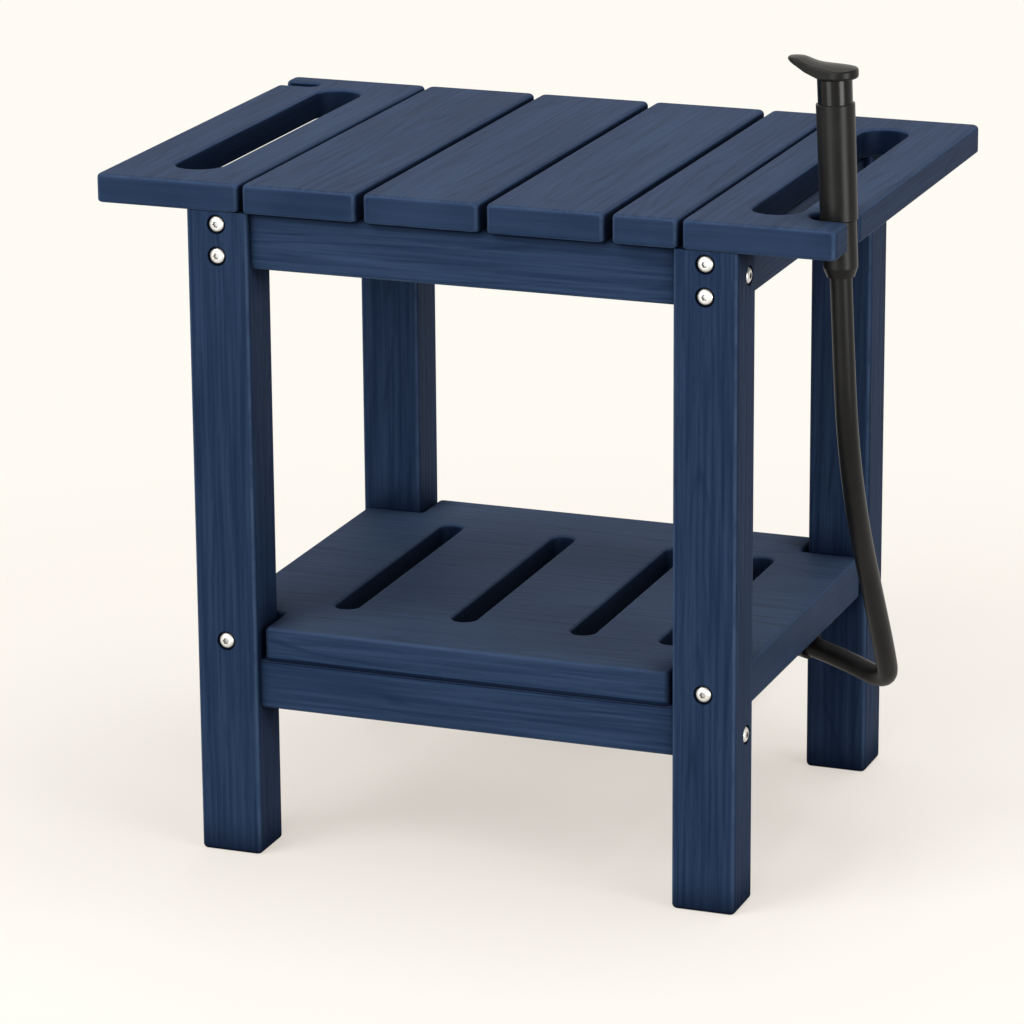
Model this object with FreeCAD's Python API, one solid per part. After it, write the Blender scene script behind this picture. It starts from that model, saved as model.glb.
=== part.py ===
"""Slatted bench table with a lower shelf and a hand sprayer that hangs in a corner notch.

Millimetres, +Z up, +X along the long front, +Y to the back, origin on the floor under the middle.
"""
import FreeCAD
import Part
import math
import os

from FreeCAD import Vector

# Overall sizes of the table
TOP_LENGTH = 500.0
TOP_DEPTH = 330.0
TABLE_HEIGHT = 457.0

# Top boards
BOARD_THICKNESS = 19.0
END_BOARD_WIDTH = 100.0
NARROW_SLAT_WIDTH = 43.75
WIDE_SLATS = 3
END_BOARD_GAP = 2.5
SLAT_GAP = 4.75
SLAT_STEP_DEPTH = 1.6
SLAT_STEP_END = 49.0
BOARD_CORNER_RADIUS = 5.0
BOARD_TOP_RADIUS = 3.0
BOARD_UNDER_RADIUS = 2.0

# Handle slots and holder notches in the end boards
HANDLE_SLOT_WIDTH = 32.0
HANDLE_SLOT_END_MARGIN = 34.0
HANDLE_SLOT_INSET = 52.5
NOTCH_WIDTH = 22.6
NOTCH_DEPTH = 27.5
NOTCH_FINGER = 28.2
LEFT_NOTCH_WIDTH = 13.0
LEFT_NOTCH_FINGER = 16.8
NOTCH_MOUTH_RADIUS = 4.0

# Legs
LEG_WIDTH = 43.0
LEG_DEPTH = 38.0
LEG_END_INSET = 63.0
LEG_FRONT_INSET = 1.0
LEG_CORNER_RADIUS = 4.0
LEG_FOOT_RADIUS = 3.0

# Rails
RAIL_THICKNESS = 31.0
RAIL_SETBACK = 6.0
UPPER_RAIL_HEIGHT = 38.0
LOWER_RAIL_HEIGHT = 34.0
RAIL_EDGE_RADIUS = 3.0

# Shelf
SHELF_TOP = 158.0
SHELF_THICKNESS = 22.0
SHELF_SIDE_DEPTH = 28.5
SHELF_SIDE_WIDTH = 36.0
SHELF_END_SETBACK = 4.0
SHELF_FRONT_SETBACK = 6.0
SHELF_LEG_CLEARANCE = 3.0
SHELF_CORNER_RADIUS = 4.0
SHELF_EDGE_RADIUS = 3.0
SHELF_UNDER_RADIUS = 2.0
SHELF_SLOT_WIDTH = 16.0
SHELF_SLOT_LENGTH = 203.0
SHELF_SLOT_LEFT_INSET = 75.2
SHELF_SLOT_PITCH = 83.6
SHELF_SLOT_RIGHT_INSET = 62.0

# Bolts and their barrel nuts
BOLT_RADIUS = 3.0
BOLT_HEAD_RADIUS = 5.4
BOLT_HEAD_HEIGHT = 3.2
BOLT_HEAD_RIM = 1.2
BOLT_CROWN_WIDTH_SHARE = 0.78
BOLT_CROWN_RISE_SHARE = 0.7
BOLT_FLAT_SHARE = 0.4
BOLT_REACH = 31.0
HEX_SOCKET_WIDTH = 4.0
HEX_SOCKET_DEPTH = 2.0
COUNTERBORE_RADIUS = 6.5
COUNTERBORE_DEPTH = 2.6
BOLT_CLEARANCE = 0.3
NUT_RADIUS = 5.0
NUT_SETBACK = 25.0
RAIL_NUT_LENGTH = 22.0
SHELF_NUT_LENGTH = 14.0
NUT_CLEARANCE = 0.15
NUT_THREAD_CLEARANCE = 0.1
CROSS_BOLT_DROPS = (8.5, 29.5)
LONG_BOLT_DROP = 19.3
LONG_BOLT_INSET = 24.0
SHELF_BOLT_DROP = 10.0
LOWER_BOLT_RISE = 14.0

# Screws from below
SCREW_RADIUS = 2.0
SCREW_HEAD_RADIUS = 4.0
SCREW_HEAD_HEIGHT = 2.5
SCREW_HEAD_TAPER = 0.7
SCREW_COVER = 16.0
SCREW_BITE = 13.0
SCREW_CLEARANCE = 0.15
SCREW_BORE_RADIUS = 5.0
SLAT_SCREW_INSET = 9.0
SLAT_SCREW_MARGIN = 15.5
SLAT_SCREW_LEG_GAP = 12.0
END_BOARD_SCREW_LEG_GAP = 51.0
END_BOARD_SCREW_PITCH = 50.0
SHELF_SCREW_LEG_GAP = 49.0
SHELF_SCREW_PITCH = 60.0

# Hand sprayer, measured along its own axis from the shoulder that rests on the board
SPRAYER_END_INSET = 9.8
SPRAYER_LEAN = 2.6
SEAT_CLEARANCE = 0.15
BARREL_FOOT_RADIUS = 11.8
BARREL_TOP_RADIUS = 12.2
BARREL_LENGTH = 73.3
BARREL_EDGE_RADIUS = 0.5
NECK_FOOT_RADIUS = 10.9
NECK_TOP_RADIUS = 11.1
NECK_LENGTH = 15.4
NECK_SPIGOT_RADIUS = 9.4
NECK_SPIGOT_LENGTH = 13.0
SPIGOT_CLEARANCE = 0.1
WATERWAY_RADIUS = 4.0
HEAD_HEEL_RADIUS = 12.4
HEAD_HEEL_OFFSET = 2.7
HEAD_TIP_RADIUS = 7.5
HEAD_TIP_OFFSET = -21.9
HEAD_CROWN = ((-36.0, 14.0), (-27.0, 14.0), (-20.0, 13.5), (-13.5, 11.1),
              (-5.0, 9.5), (7.0, 8.3), (13.0, 6.9), (17.0, 4.4))
HEAD_CROWN_RADIUS = 30.0
HEAD_BELLY_FOOT = -5.0
HEAD_BELLY_END = -16.6
HEAD_BELLY_RISE = 0.42
HEAD_SLOPE_RISE = 0.62
HEAD_EDGE_RADIUS = 1.8
HEAD_HEEL_EASE = 2.0
SPRAY_FACE_OFFSET = -21.8
SPRAY_FACE_RADIUS = 5.2
SPRAY_FACE_THICKNESS = 1.4
SPRAY_FACE_CLEARANCE = 0.1
NOZZLE_RADIUS = 0.6
NOZZLE_TIP_RADIUS = 0.35
NOZZLE_HEIGHT = 0.8
NOZZLE_RING_RADIUS = 3.3
NOZZLE_RING_COUNT = 7
SLEEVE_RADIUS = 10.9
SLEEVE_LENGTH = 29.7
SLEEVE_TAPER_LENGTH = 6.0
SLEEVE_MOUTH_RADIUS = 8.7
SLEEVE_TURN_RADIUS = 4.0
SLEEVE_GAP = 0.5
STEM_RADIUS = 5.8
STEM_BORE_RADIUS = 2.5
STEM_RISE = 14.0
STEM_DEPTH = 12.0
STEM_CLEARANCE = 0.35
SEAL_GROOVE_RADIUS = 4.1
SEAL_GROOVE_WIDTH = 2.3
SEAL_WIRE_RADIUS = 0.9
SEAL_HEIGHT = 7.0

# Hose
HOSE_RADIUS = 7.0
HOSE_SOCKET_DEPTH = 14.0
HOSE_SOCKET_CLEARANCE = 0.3
HOSE_STRAIGHT = 61.0

# Clip that holds the hose under the shelf
CLIP_WIDTH = 12.0
CLIP_WALL = 2.0
CLIP_EAR_LENGTH = 12.0
CLIP_EAR_THICKNESS = 2.0
CLIP_CLEARANCE = 0.6
CLIP_SCREW_RADIUS = 1.6
CLIP_SCREW_HEAD_RADIUS = 3.2
CLIP_SCREW_HEAD_HEIGHT = 1.6
CLIP_SCREW_BITE = 12.0

# Put-away coil, its tie and the end nut
COIL_CENTRE_X = -30.0
COIL_CENTRE_Y = 212.0
COIL_STRAIGHT = 48.0
COIL_INNER_RADIUS = 74.0
COIL_PITCH = 15.4
COIL_END_LEAN = 1.45
COIL_END_RUN = 28.0
TIE_THICKNESS = 0.8
TIE_WIDTH = 8.0
TIE_CLEARANCE = 0.25
TIE_ANGLE = 15.0
NUT_BODY_RADIUS = 10.9
NUT_BODY_LENGTH = 15.0
NUT_CONE_RADIUS = 8.4
NUT_CONE_LENGTH = 8.0
NUT_FLUTES = 14
NUT_FLUTE_RADIUS = 1.1
NUT_FLUTE_BITE = 0.6
NUT_FLUTE_SETBACK = 2.5
NUT_GRIP = 9.0
NUT_THREAD_RADIUS = 9.4
NUT_THREAD_DEPTH = 9.0
NUT_HOSE_CLEARANCE = 0.15
WASHER_THICKNESS = 2.0
WASHER_RADIUS = 8.9
WASHER_HOLE_RADIUS = 5.5
WASHER_CLEARANCE = 0.1

# Places worked out from the sizes above
HALF_LENGTH = TOP_LENGTH / 2
HALF_DEPTH = TOP_DEPTH / 2
BOARD_UNDERSIDE = TABLE_HEIGHT - BOARD_THICKNESS
LEG_OUT_X = HALF_LENGTH - LEG_END_INSET
LEG_IN_X = LEG_OUT_X - LEG_WIDTH
LEG_MID_X = LEG_OUT_X - LEG_WIDTH / 2
LEG_OUT_Y = HALF_DEPTH - LEG_FRONT_INSET
LEG_IN_Y = LEG_OUT_Y - LEG_DEPTH
RAIL_OUT_Y = LEG_OUT_Y - RAIL_SETBACK
RAIL_MID_Y = RAIL_OUT_Y - RAIL_THICKNESS / 2
RAIL_IN_Y = RAIL_OUT_Y - RAIL_THICKNESS
SIDE_RAIL_OUT_X = LEG_MID_X + RAIL_THICKNESS / 2
SIDE_RAIL_IN_X = LEG_MID_X - RAIL_THICKNESS / 2
LONG_BOLT_Y = LEG_OUT_Y - LONG_BOLT_INSET
UPPER_RAIL_BOTTOM = BOARD_UNDERSIDE - UPPER_RAIL_HEIGHT
SHELF_BOTTOM = SHELF_TOP - SHELF_THICKNESS
SHELF_SIDE_BOTTOM = SHELF_TOP - SHELF_SIDE_DEPTH
SHELF_OUT_X = LEG_OUT_X - SHELF_END_SETBACK
SHELF_IN_X = LEG_IN_X - SHELF_LEG_CLEARANCE
SHELF_OUT_Y = LEG_OUT_Y - SHELF_FRONT_SETBACK
SHELF_IN_Y = LEG_IN_Y - SHELF_LEG_CLEARANCE
SHELF_SLOT_FIRST_X = SHELF_SLOT_LEFT_INSET - SHELF_OUT_X
SHELF_SLOT_XS = (SHELF_SLOT_FIRST_X, SHELF_SLOT_FIRST_X + SHELF_SLOT_PITCH,
                 SHELF_SLOT_FIRST_X + 2 * SHELF_SLOT_PITCH, SHELF_OUT_X - SHELF_SLOT_RIGHT_INSET)
LOWER_RAIL_BOTTOM = SHELF_BOTTOM - LOWER_RAIL_HEIGHT
SHELF_BOLT_Z = SHELF_TOP - SHELF_BOLT_DROP
LOWER_BOLT_Z = LOWER_RAIL_BOTTOM + LOWER_BOLT_RISE
LONG_BOLT_Z = BOARD_UNDERSIDE - LONG_BOLT_DROP
CROSS_BOLT_ZS = tuple(BOARD_UNDERSIDE - drop for drop in CROSS_BOLT_DROPS)
WIDE_SLAT_WIDTH = (TOP_LENGTH - 2 * END_BOARD_WIDTH - 2 * END_BOARD_GAP - NARROW_SLAT_WIDTH
                   - WIDE_SLATS * SLAT_GAP) / WIDE_SLATS
NOTCH_MID_Y = NOTCH_FINGER + NOTCH_WIDTH / 2 - HALF_DEPTH
COIL_HEIGHT = HOSE_RADIUS + TIE_CLEARANCE + TIE_THICKNESS
COIL_ENTRY_X = COIL_CENTRE_X + COIL_INNER_RADIUS
COIL_FAR_Y = COIL_CENTRE_Y + COIL_STRAIGHT

X_AXIS = Vector(1, 0, 0)
Y_AXIS = Vector(0, 1, 0)
Z_AXIS = Vector(0, 0, 1)
ORIGIN = Vector(0, 0, 0)
NEAR = 1e-4
SIDES = (-1, 1)

# The barrel's eased foot sits in the eased edge of the notch, a little below the board's top
SEAT_ACROSS = NOTCH_WIDTH / 2 + BOARD_TOP_RADIUS - BARREL_FOOT_RADIUS + BARREL_EDGE_RADIUS
SEAT_REACH = BOARD_TOP_RADIUS + BARREL_EDGE_RADIUS
SEAT_DROP = SEAT_REACH - math.sqrt(SEAT_REACH ** 2 - SEAT_ACROSS ** 2)
# The sprayer's own axis, leaning towards the middle of the table
SPRAYER_PLACE = FreeCAD.Placement(
    Vector(HALF_LENGTH - SPRAYER_END_INSET, NOTCH_MID_Y, TABLE_HEIGHT - SEAT_DROP + SEAT_CLEARANCE),
    FreeCAD.Rotation(Y_AXIS, -SPRAYER_LEAN))
HOSE_START = (SLEEVE_GAP + SLEEVE_LENGTH + SLEEVE_TAPER_LENGTH - HOSE_SOCKET_DEPTH + HOSE_SOCKET_CLEARANCE)
HOSE_FIRST_TURN = HOSE_START + HOSE_STRAIGHT

# Hose from the sprayer to the clip: straight out, back and down, a tight fold, then in under the shelf
HOSE_DROP_ROUTE = (
    SPRAYER_PLACE.multVec(Vector(0, 0, -HOSE_START)),
    SPRAYER_PLACE.multVec(Vector(0, 0, -HOSE_FIRST_TURN)),
    Vector(HALF_LENGTH - 4.5, -119.0, 312.0),
    Vector(HALF_LENGTH - 6.5, -88.0, 250.0),
    Vector(HALF_LENGTH - 9.2, -44.0, 190.0),
    Vector(HALF_LENGTH - 10.5, -8.0, 138.0),
    Vector(HALF_LENGTH - 14.0, 17.0, 106.5),
    Vector(SHELF_OUT_X + 17.0, 32.0, 114.5),
    Vector(SHELF_OUT_X - 23.0, 53.0, 117.0),
)
CLIP_RUN = HOSE_DROP_ROUTE[-1] - HOSE_DROP_ROUTE[-2]
# Hose from the clip, straight on at first, then down over the coil's outer turn to the floor inside it
HOSE_TAIL_ROUTE = (
    HOSE_DROP_ROUTE[-1],
    HOSE_DROP_ROUTE[-1] + CLIP_RUN,
    Vector(82.0, 102.0, 99.0),
    Vector(58.0, 131.0, 66.0),
    Vector(45.5, 158.0, 42.0),
    Vector(COIL_ENTRY_X, COIL_CENTRE_Y - 28.0, 22.6),
    Vector(COIL_ENTRY_X, COIL_CENTRE_Y + 8.0, COIL_HEIGHT),
    Vector(COIL_ENTRY_X, COIL_FAR_Y - 2 * HOSE_RADIUS, COIL_HEIGHT),
)
ARC_SHARE = 0.45
CLIP_PLACE_SHARE = 0.85


def save(shape, node):
    """Write one node's solids."""
    shape.exportStep("parts/%s.step" % node)


def span_box(x_low, x_high, y_low, y_high, z_low, z_high):
    """Box between two corners."""
    return Part.makeBox(x_high - x_low, y_high - y_low, z_high - z_low, Vector(x_low, y_low, z_low))


def prism(points, z_low, z_high):
    """Upright solid on a closed outline of straight edges."""
    corners = [Vector(x, y, z_low) for x, y in points]
    outline = Part.makePolygon(corners + corners[:1])
    return Part.Face(outline).extrude(Z_AXIS * (z_high - z_low))


def turned(profile):
    """Solid of revolution about Z from radius and height pairs."""
    corners = [Vector(r, 0, z) for r, z in profile]
    outline = Part.makePolygon(corners + corners[:1])
    return Part.Face(outline).revolve(ORIGIN, Z_AXIS, 360)


def rod(radius, start, direction, length):
    """Round rod from a start point along a direction."""
    return Part.makeCylinder(radius, length, start, direction)


def oblong(x_mid, y_low, y_high, width, z_low, z_high):
    """Upright prism of a round-ended slot that runs along Y."""
    radius = width / 2
    middle = span_box(x_mid - radius, x_mid + radius, y_low + radius, y_high - radius, z_low, z_high)
    ends = [Part.makeCylinder(radius, z_high - z_low, Vector(x_mid, y, z_low))
            for y in (y_low + radius, y_high - radius)]
    return middle.multiFuse(ends).removeSplitter()


def eased(shape, radius, chosen):
    """Round the edges that a test picks."""
    return shape.makeFillet(radius, [edge for edge in shape.Edges if chosen(edge)])


def level_edge(z):
    """Test for an edge that lies flat at one height."""
    return lambda edge: abs(edge.BoundBox.ZMin - z) < NEAR and abs(edge.BoundBox.ZMax - z) < NEAR


def upright_edge(places):
    """Test for an upright edge that stands at one of some places."""
    def chosen(edge):
        box = edge.BoundBox
        if box.ZLength < NEAR or box.XLength > NEAR or box.YLength > NEAR:
            return False
        return any(abs(box.XMin - x) < NEAR and abs(box.YMin - y) < NEAR for x, y in places)
    return chosen


def long_edge(direction):
    """Test for a straight edge along a direction."""
    def chosen(edge):
        return len(edge.Vertexes) == 2 and abs(edge.tangentAt(edge.FirstParameter).dot(direction)) > 1 - NEAR
    return chosen


def half_turned(shape):
    """Copy turned half round about the table's middle."""
    copy = shape.copy()
    copy.rotate(ORIGIN, Z_AXIS, 180)
    return copy


def aimed(shape, place, direction):
    """Copy of a shape made along +Z, set at a place and pointed along a direction."""
    copy = shape.copy()
    copy.Placement = FreeCAD.Placement(place, FreeCAD.Rotation(Z_AXIS, direction))
    return copy


def ring_of(shape, count):
    """Copies of a shape spaced evenly round the Z axis."""
    copies = []
    for place in range(count):
        copy = shape.copy()
        copy.rotate(ORIGIN, Z_AXIS, 360.0 * place / count)
        copies.append(copy)
    return copies


def rectangle(x_low, x_high, y_low, y_high):
    """Corners of a rectangle, in order."""
    return [(x_low, y_low), (x_high, y_low), (x_high, y_high), (x_low, y_high)]


def board_blank(x_low, x_high):
    """Board across the full depth with rounded upright corners."""
    corners = rectangle(x_low, x_high, -HALF_DEPTH, HALF_DEPTH)
    blank = prism(corners, BOARD_UNDERSIDE, TABLE_HEIGHT)
    return eased(blank, BOARD_CORNER_RADIUS, upright_edge(corners))


def board_finish(board):
    """Ease the upper and lower edges of a board."""
    board = eased(board, BOARD_TOP_RADIUS, level_edge(TABLE_HEIGHT))
    return eased(board, BOARD_UNDER_RADIUS, level_edge(BOARD_UNDERSIDE))


def slat(x_low, width, stepped):
    """Top slat, with its left edge set back between two end shoulders where it is stepped."""
    board = board_finish(board_blank(x_low, x_low + width))
    if not stepped:
        return board
    y_step = HALF_DEPTH - SLAT_STEP_END
    relief = span_box(x_low - SLAT_STEP_DEPTH, x_low + SLAT_STEP_DEPTH, -y_step, y_step,
                      BOARD_UNDERSIDE - 1, TABLE_HEIGHT + 1)
    return board.cut(relief)


def end_board(notch_width, notch_finger):
    """Right end board with its handle slot and a notch of a given width and finger, open to the end."""
    x_low = HALF_LENGTH - END_BOARD_WIDTH
    z_low, z_high = BOARD_UNDERSIDE - 1, TABLE_HEIGHT + 1
    slot_reach = HALF_DEPTH - HANDLE_SLOT_END_MARGIN
    slot = oblong(HALF_LENGTH - HANDLE_SLOT_INSET, -slot_reach, slot_reach, HANDLE_SLOT_WIDTH, z_low, z_high)
    notch_radius = notch_width / 2
    notch_mid_x = HALF_LENGTH - NOTCH_DEPTH + notch_radius
    notch_mid_y = notch_finger + notch_radius - HALF_DEPTH
    notch = span_box(notch_mid_x, HALF_LENGTH + 1, notch_mid_y - notch_radius, notch_mid_y + notch_radius,
                     z_low, z_high)
    notch = notch.fuse(rod(notch_radius, Vector(notch_mid_x, notch_mid_y, z_low), Z_AXIS, z_high - z_low))
    board = board_blank(x_low, HALF_LENGTH).cut(slot.fuse(notch.removeSplitter()))
    mouth = [(HALF_LENGTH, notch_mid_y + side * notch_radius) for side in SIDES]
    board = eased(board, NOTCH_MOUTH_RADIUS, upright_edge(mouth))
    return board_finish(board)


def slat_row():
    """Left edge, width, step and screw places of each slat, from left to right."""
    row = []
    x = END_BOARD_WIDTH + END_BOARD_GAP - HALF_LENGTH
    for count in range(WIDE_SLATS):
        first = x + SLAT_SCREW_MARGIN if count else SLAT_SCREW_LEG_GAP - LEG_IN_X
        screws = [first, x + WIDE_SLAT_WIDTH - SLAT_SCREW_MARGIN]
        row.append(("top_slat_%d" % (count + 1), x, WIDE_SLAT_WIDTH, count > 0, screws))
        x += WIDE_SLAT_WIDTH + SLAT_GAP
    row.append(("top_slat_narrow", x, NARROW_SLAT_WIDTH, True, [LEG_IN_X - SLAT_SCREW_LEG_GAP]))
    return row


def bolt(length):
    """Bolt along +Z with its head's underside at zero and the head below it."""
    rim = -BOLT_HEAD_RIM
    crown = [Vector(BOLT_HEAD_RADIUS, 0, rim),
             Vector(BOLT_HEAD_RADIUS * BOLT_CROWN_WIDTH_SHARE, 0,
                    rim - (BOLT_HEAD_HEIGHT - BOLT_HEAD_RIM) * BOLT_CROWN_RISE_SHARE),
             Vector(BOLT_HEAD_RADIUS * BOLT_FLAT_SHARE, 0, -BOLT_HEAD_HEIGHT)]
    edges = [Part.LineSegment(ORIGIN, Vector(BOLT_HEAD_RADIUS, 0, 0)),
             Part.LineSegment(Vector(BOLT_HEAD_RADIUS, 0, 0), crown[0]),
             Part.Arc(*crown),
             Part.LineSegment(crown[2], Vector(0, 0, -BOLT_HEAD_HEIGHT)),
             Part.LineSegment(Vector(0, 0, -BOLT_HEAD_HEIGHT), ORIGIN)]
    head = Part.Face(Part.Wire([edge.toShape() for edge in edges])).revolve(ORIGIN, Z_AXIS, 360)
    corner = HEX_SOCKET_WIDTH / math.sqrt(3)
    hexagon = [(corner * math.cos(math.radians(60 * i)), corner * math.sin(math.radians(60 * i)))
               for i in range(6)]
    socket = prism(hexagon, -BOLT_HEAD_HEIGHT - 1, HEX_SOCKET_DEPTH - BOLT_HEAD_HEIGHT)
    return head.cut(socket).fuse(rod(BOLT_RADIUS, ORIGIN, Z_AXIS, length)).removeSplitter()


def bolt_bore(leg_thickness):
    """Counterbored hole for a bolt, along +Z from the leg's outer face, past the bolt's tip."""
    hole = rod(BOLT_RADIUS + BOLT_CLEARANCE, ORIGIN, Z_AXIS, leg_thickness + BOLT_REACH + 1)
    return hole.fuse(Part.makeCylinder(COUNTERBORE_RADIUS, COUNTERBORE_DEPTH + 1, Vector(0, 0, -1)))


def barrel_nut(length):
    """Barrel nut along Z, with the bolt's hole across it along X."""
    body = rod(NUT_RADIUS, Vector(0, 0, -length / 2), Z_AXIS, length)
    reach = NUT_RADIUS + 1
    return body.cut(rod(BOLT_RADIUS + NUT_THREAD_CLEARANCE, Vector(-reach, 0, 0), X_AXIS, 2 * reach))


def bolt_set(places, direction_of, leg_thickness):
    """Bolts and their bores at some places on the legs' outer faces."""
    length = leg_thickness - COUNTERBORE_DEPTH + BOLT_REACH
    bolts, bores = [], []
    for place in places:
        inward = direction_of(place)
        bolts.append(aimed(bolt(length), place + inward * COUNTERBORE_DEPTH, inward))
        bores.append(aimed(bolt_bore(leg_thickness), place, inward))
    return bolts, bores


def nut_set(places, direction_of, leg_thickness, length, mouth_of):
    """Barrel nuts on the bolts' lines, and their blind holes from each mouth point's side."""
    nuts, holes = [], []
    for place in places:
        inward = direction_of(place)
        middle = place + inward * (leg_thickness + NUT_SETBACK)
        out = mouth_of(place)
        nut = barrel_nut(length)
        across = out.cross(inward)
        turn = FreeCAD.Rotation(inward, across, out, "ZXY")
        nut.Placement = FreeCAD.Placement(middle, turn)
        nuts.append(nut)
        depth = length / 2 + NUT_CLEARANCE
        holes.append(rod(NUT_RADIUS + NUT_CLEARANCE, middle - out * depth, out, depth + LEG_WIDTH))
    return nuts, holes


def toward_middle(axis):
    """Direction from a place towards the table's middle along one axis."""
    return lambda place: axis * (-1 if place.dot(axis) > 0 else 1)


def screw(bite):
    """Screw along +Z with its head's seat at zero and the head below it."""
    head = Part.makeCone(SCREW_HEAD_RADIUS * SCREW_HEAD_TAPER, SCREW_HEAD_RADIUS, SCREW_HEAD_HEIGHT,
                         Vector(0, 0, -SCREW_HEAD_HEIGHT))
    return head.fuse(rod(SCREW_RADIUS, ORIGIN, Z_AXIS, SCREW_COVER + bite))


def screw_set(places, joint_z, rail_bottom):
    """Screws that go up through a rail into what lies on it, and their stepped bores."""
    screws, bores = [], []
    seat_z = joint_z - SCREW_COVER
    for x, y in places:
        screws.append(aimed(screw(SCREW_BITE), Vector(x, y, seat_z), Z_AXIS))
        pilot = rod(SCREW_RADIUS + SCREW_CLEARANCE, Vector(x, y, seat_z - 1), Z_AXIS,
                    SCREW_COVER + SCREW_BITE + SCREW_CLEARANCE + 1)
        access = rod(SCREW_BORE_RADIUS, Vector(x, y, rail_bottom - 1), Z_AXIS, seat_z - rail_bottom + 1)
        bores.append(pilot.fuse(access))
    return screws, bores


def bored(shape, bores):
    """Cut the bores that reach a shape."""
    reached = [bore for bore in bores if bore.BoundBox.intersect(shape.BoundBox)]
    return shape.cut(Part.Compound(reached)) if reached else shape


def leg(side_x, side_y):
    """One leg with rounded upright edges and an eased foot."""
    x_low, x_high = sorted((side_x * LEG_IN_X, side_x * LEG_OUT_X))
    y_low, y_high = sorted((side_y * LEG_IN_Y, side_y * LEG_OUT_Y))
    corners = rectangle(x_low, x_high, y_low, y_high)
    post = eased(prism(corners, 0, BOARD_UNDERSIDE), LEG_CORNER_RADIUS, upright_edge(corners))
    return eased(post, LEG_FOOT_RADIUS, level_edge(0))


def long_rail(side_y, z_low, height):
    """Rail along X between two legs."""
    y_low, y_high = sorted((side_y * RAIL_IN_Y, side_y * RAIL_OUT_Y))
    rail = span_box(-LEG_IN_X, LEG_IN_X, y_low, y_high, z_low, z_low + height)
    return eased(rail, RAIL_EDGE_RADIUS, long_edge(X_AXIS))


def side_rail(side_x):
    """Upper rail along Y between two legs."""
    x_low, x_high = sorted((side_x * SIDE_RAIL_IN_X, side_x * SIDE_RAIL_OUT_X))
    rail = span_box(x_low, x_high, -LEG_IN_Y, LEG_IN_Y, UPPER_RAIL_BOTTOM, BOARD_UNDERSIDE)
    return eased(rail, RAIL_EDGE_RADIUS, long_edge(Y_AXIS))


def shelf_panel():
    """Shelf cut round the legs, with drain slots and deeper edges at its two sides."""
    outer = [(sx * SHELF_OUT_X, sy * SHELF_IN_Y) for sx in SIDES for sy in SIDES]
    outer += [(sx * SHELF_IN_X, sy * SHELF_OUT_Y) for sx in SIDES for sy in SIDES]
    inner = [(sx * SHELF_IN_X, sy * SHELF_IN_Y) for sx in SIDES for sy in SIDES]
    across = rectangle(-SHELF_OUT_X, SHELF_OUT_X, -SHELF_IN_Y, SHELF_IN_Y)
    along = rectangle(-SHELF_IN_X, SHELF_IN_X, -SHELF_OUT_Y, SHELF_OUT_Y)
    panel = prism(across, SHELF_SIDE_BOTTOM, SHELF_TOP).fuse(prism(along, SHELF_BOTTOM, SHELF_TOP))
    hollow = SHELF_OUT_X - SHELF_SIDE_WIDTH
    panel = panel.cut(span_box(-hollow, hollow, -SHELF_OUT_Y, SHELF_OUT_Y,
                               SHELF_SIDE_BOTTOM - 1, SHELF_BOTTOM)).removeSplitter()
    panel = eased(panel, SHELF_CORNER_RADIUS, upright_edge(outer))
    panel = eased(panel, SHELF_CORNER_RADIUS / 2, upright_edge(inner))
    reach = SHELF_SLOT_LENGTH / 2
    slots = [oblong(x, -reach, reach, SHELF_SLOT_WIDTH, SHELF_SIDE_BOTTOM, SHELF_TOP + 1)
             for x in SHELF_SLOT_XS]
    panel = panel.cut(Part.Compound(slots))
    panel = eased(panel, SHELF_EDGE_RADIUS, level_edge(SHELF_TOP))
    side_edges = level_edge(SHELF_SIDE_BOTTOM)
    return eased(panel, SHELF_UNDER_RADIUS, side_edges)


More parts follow.
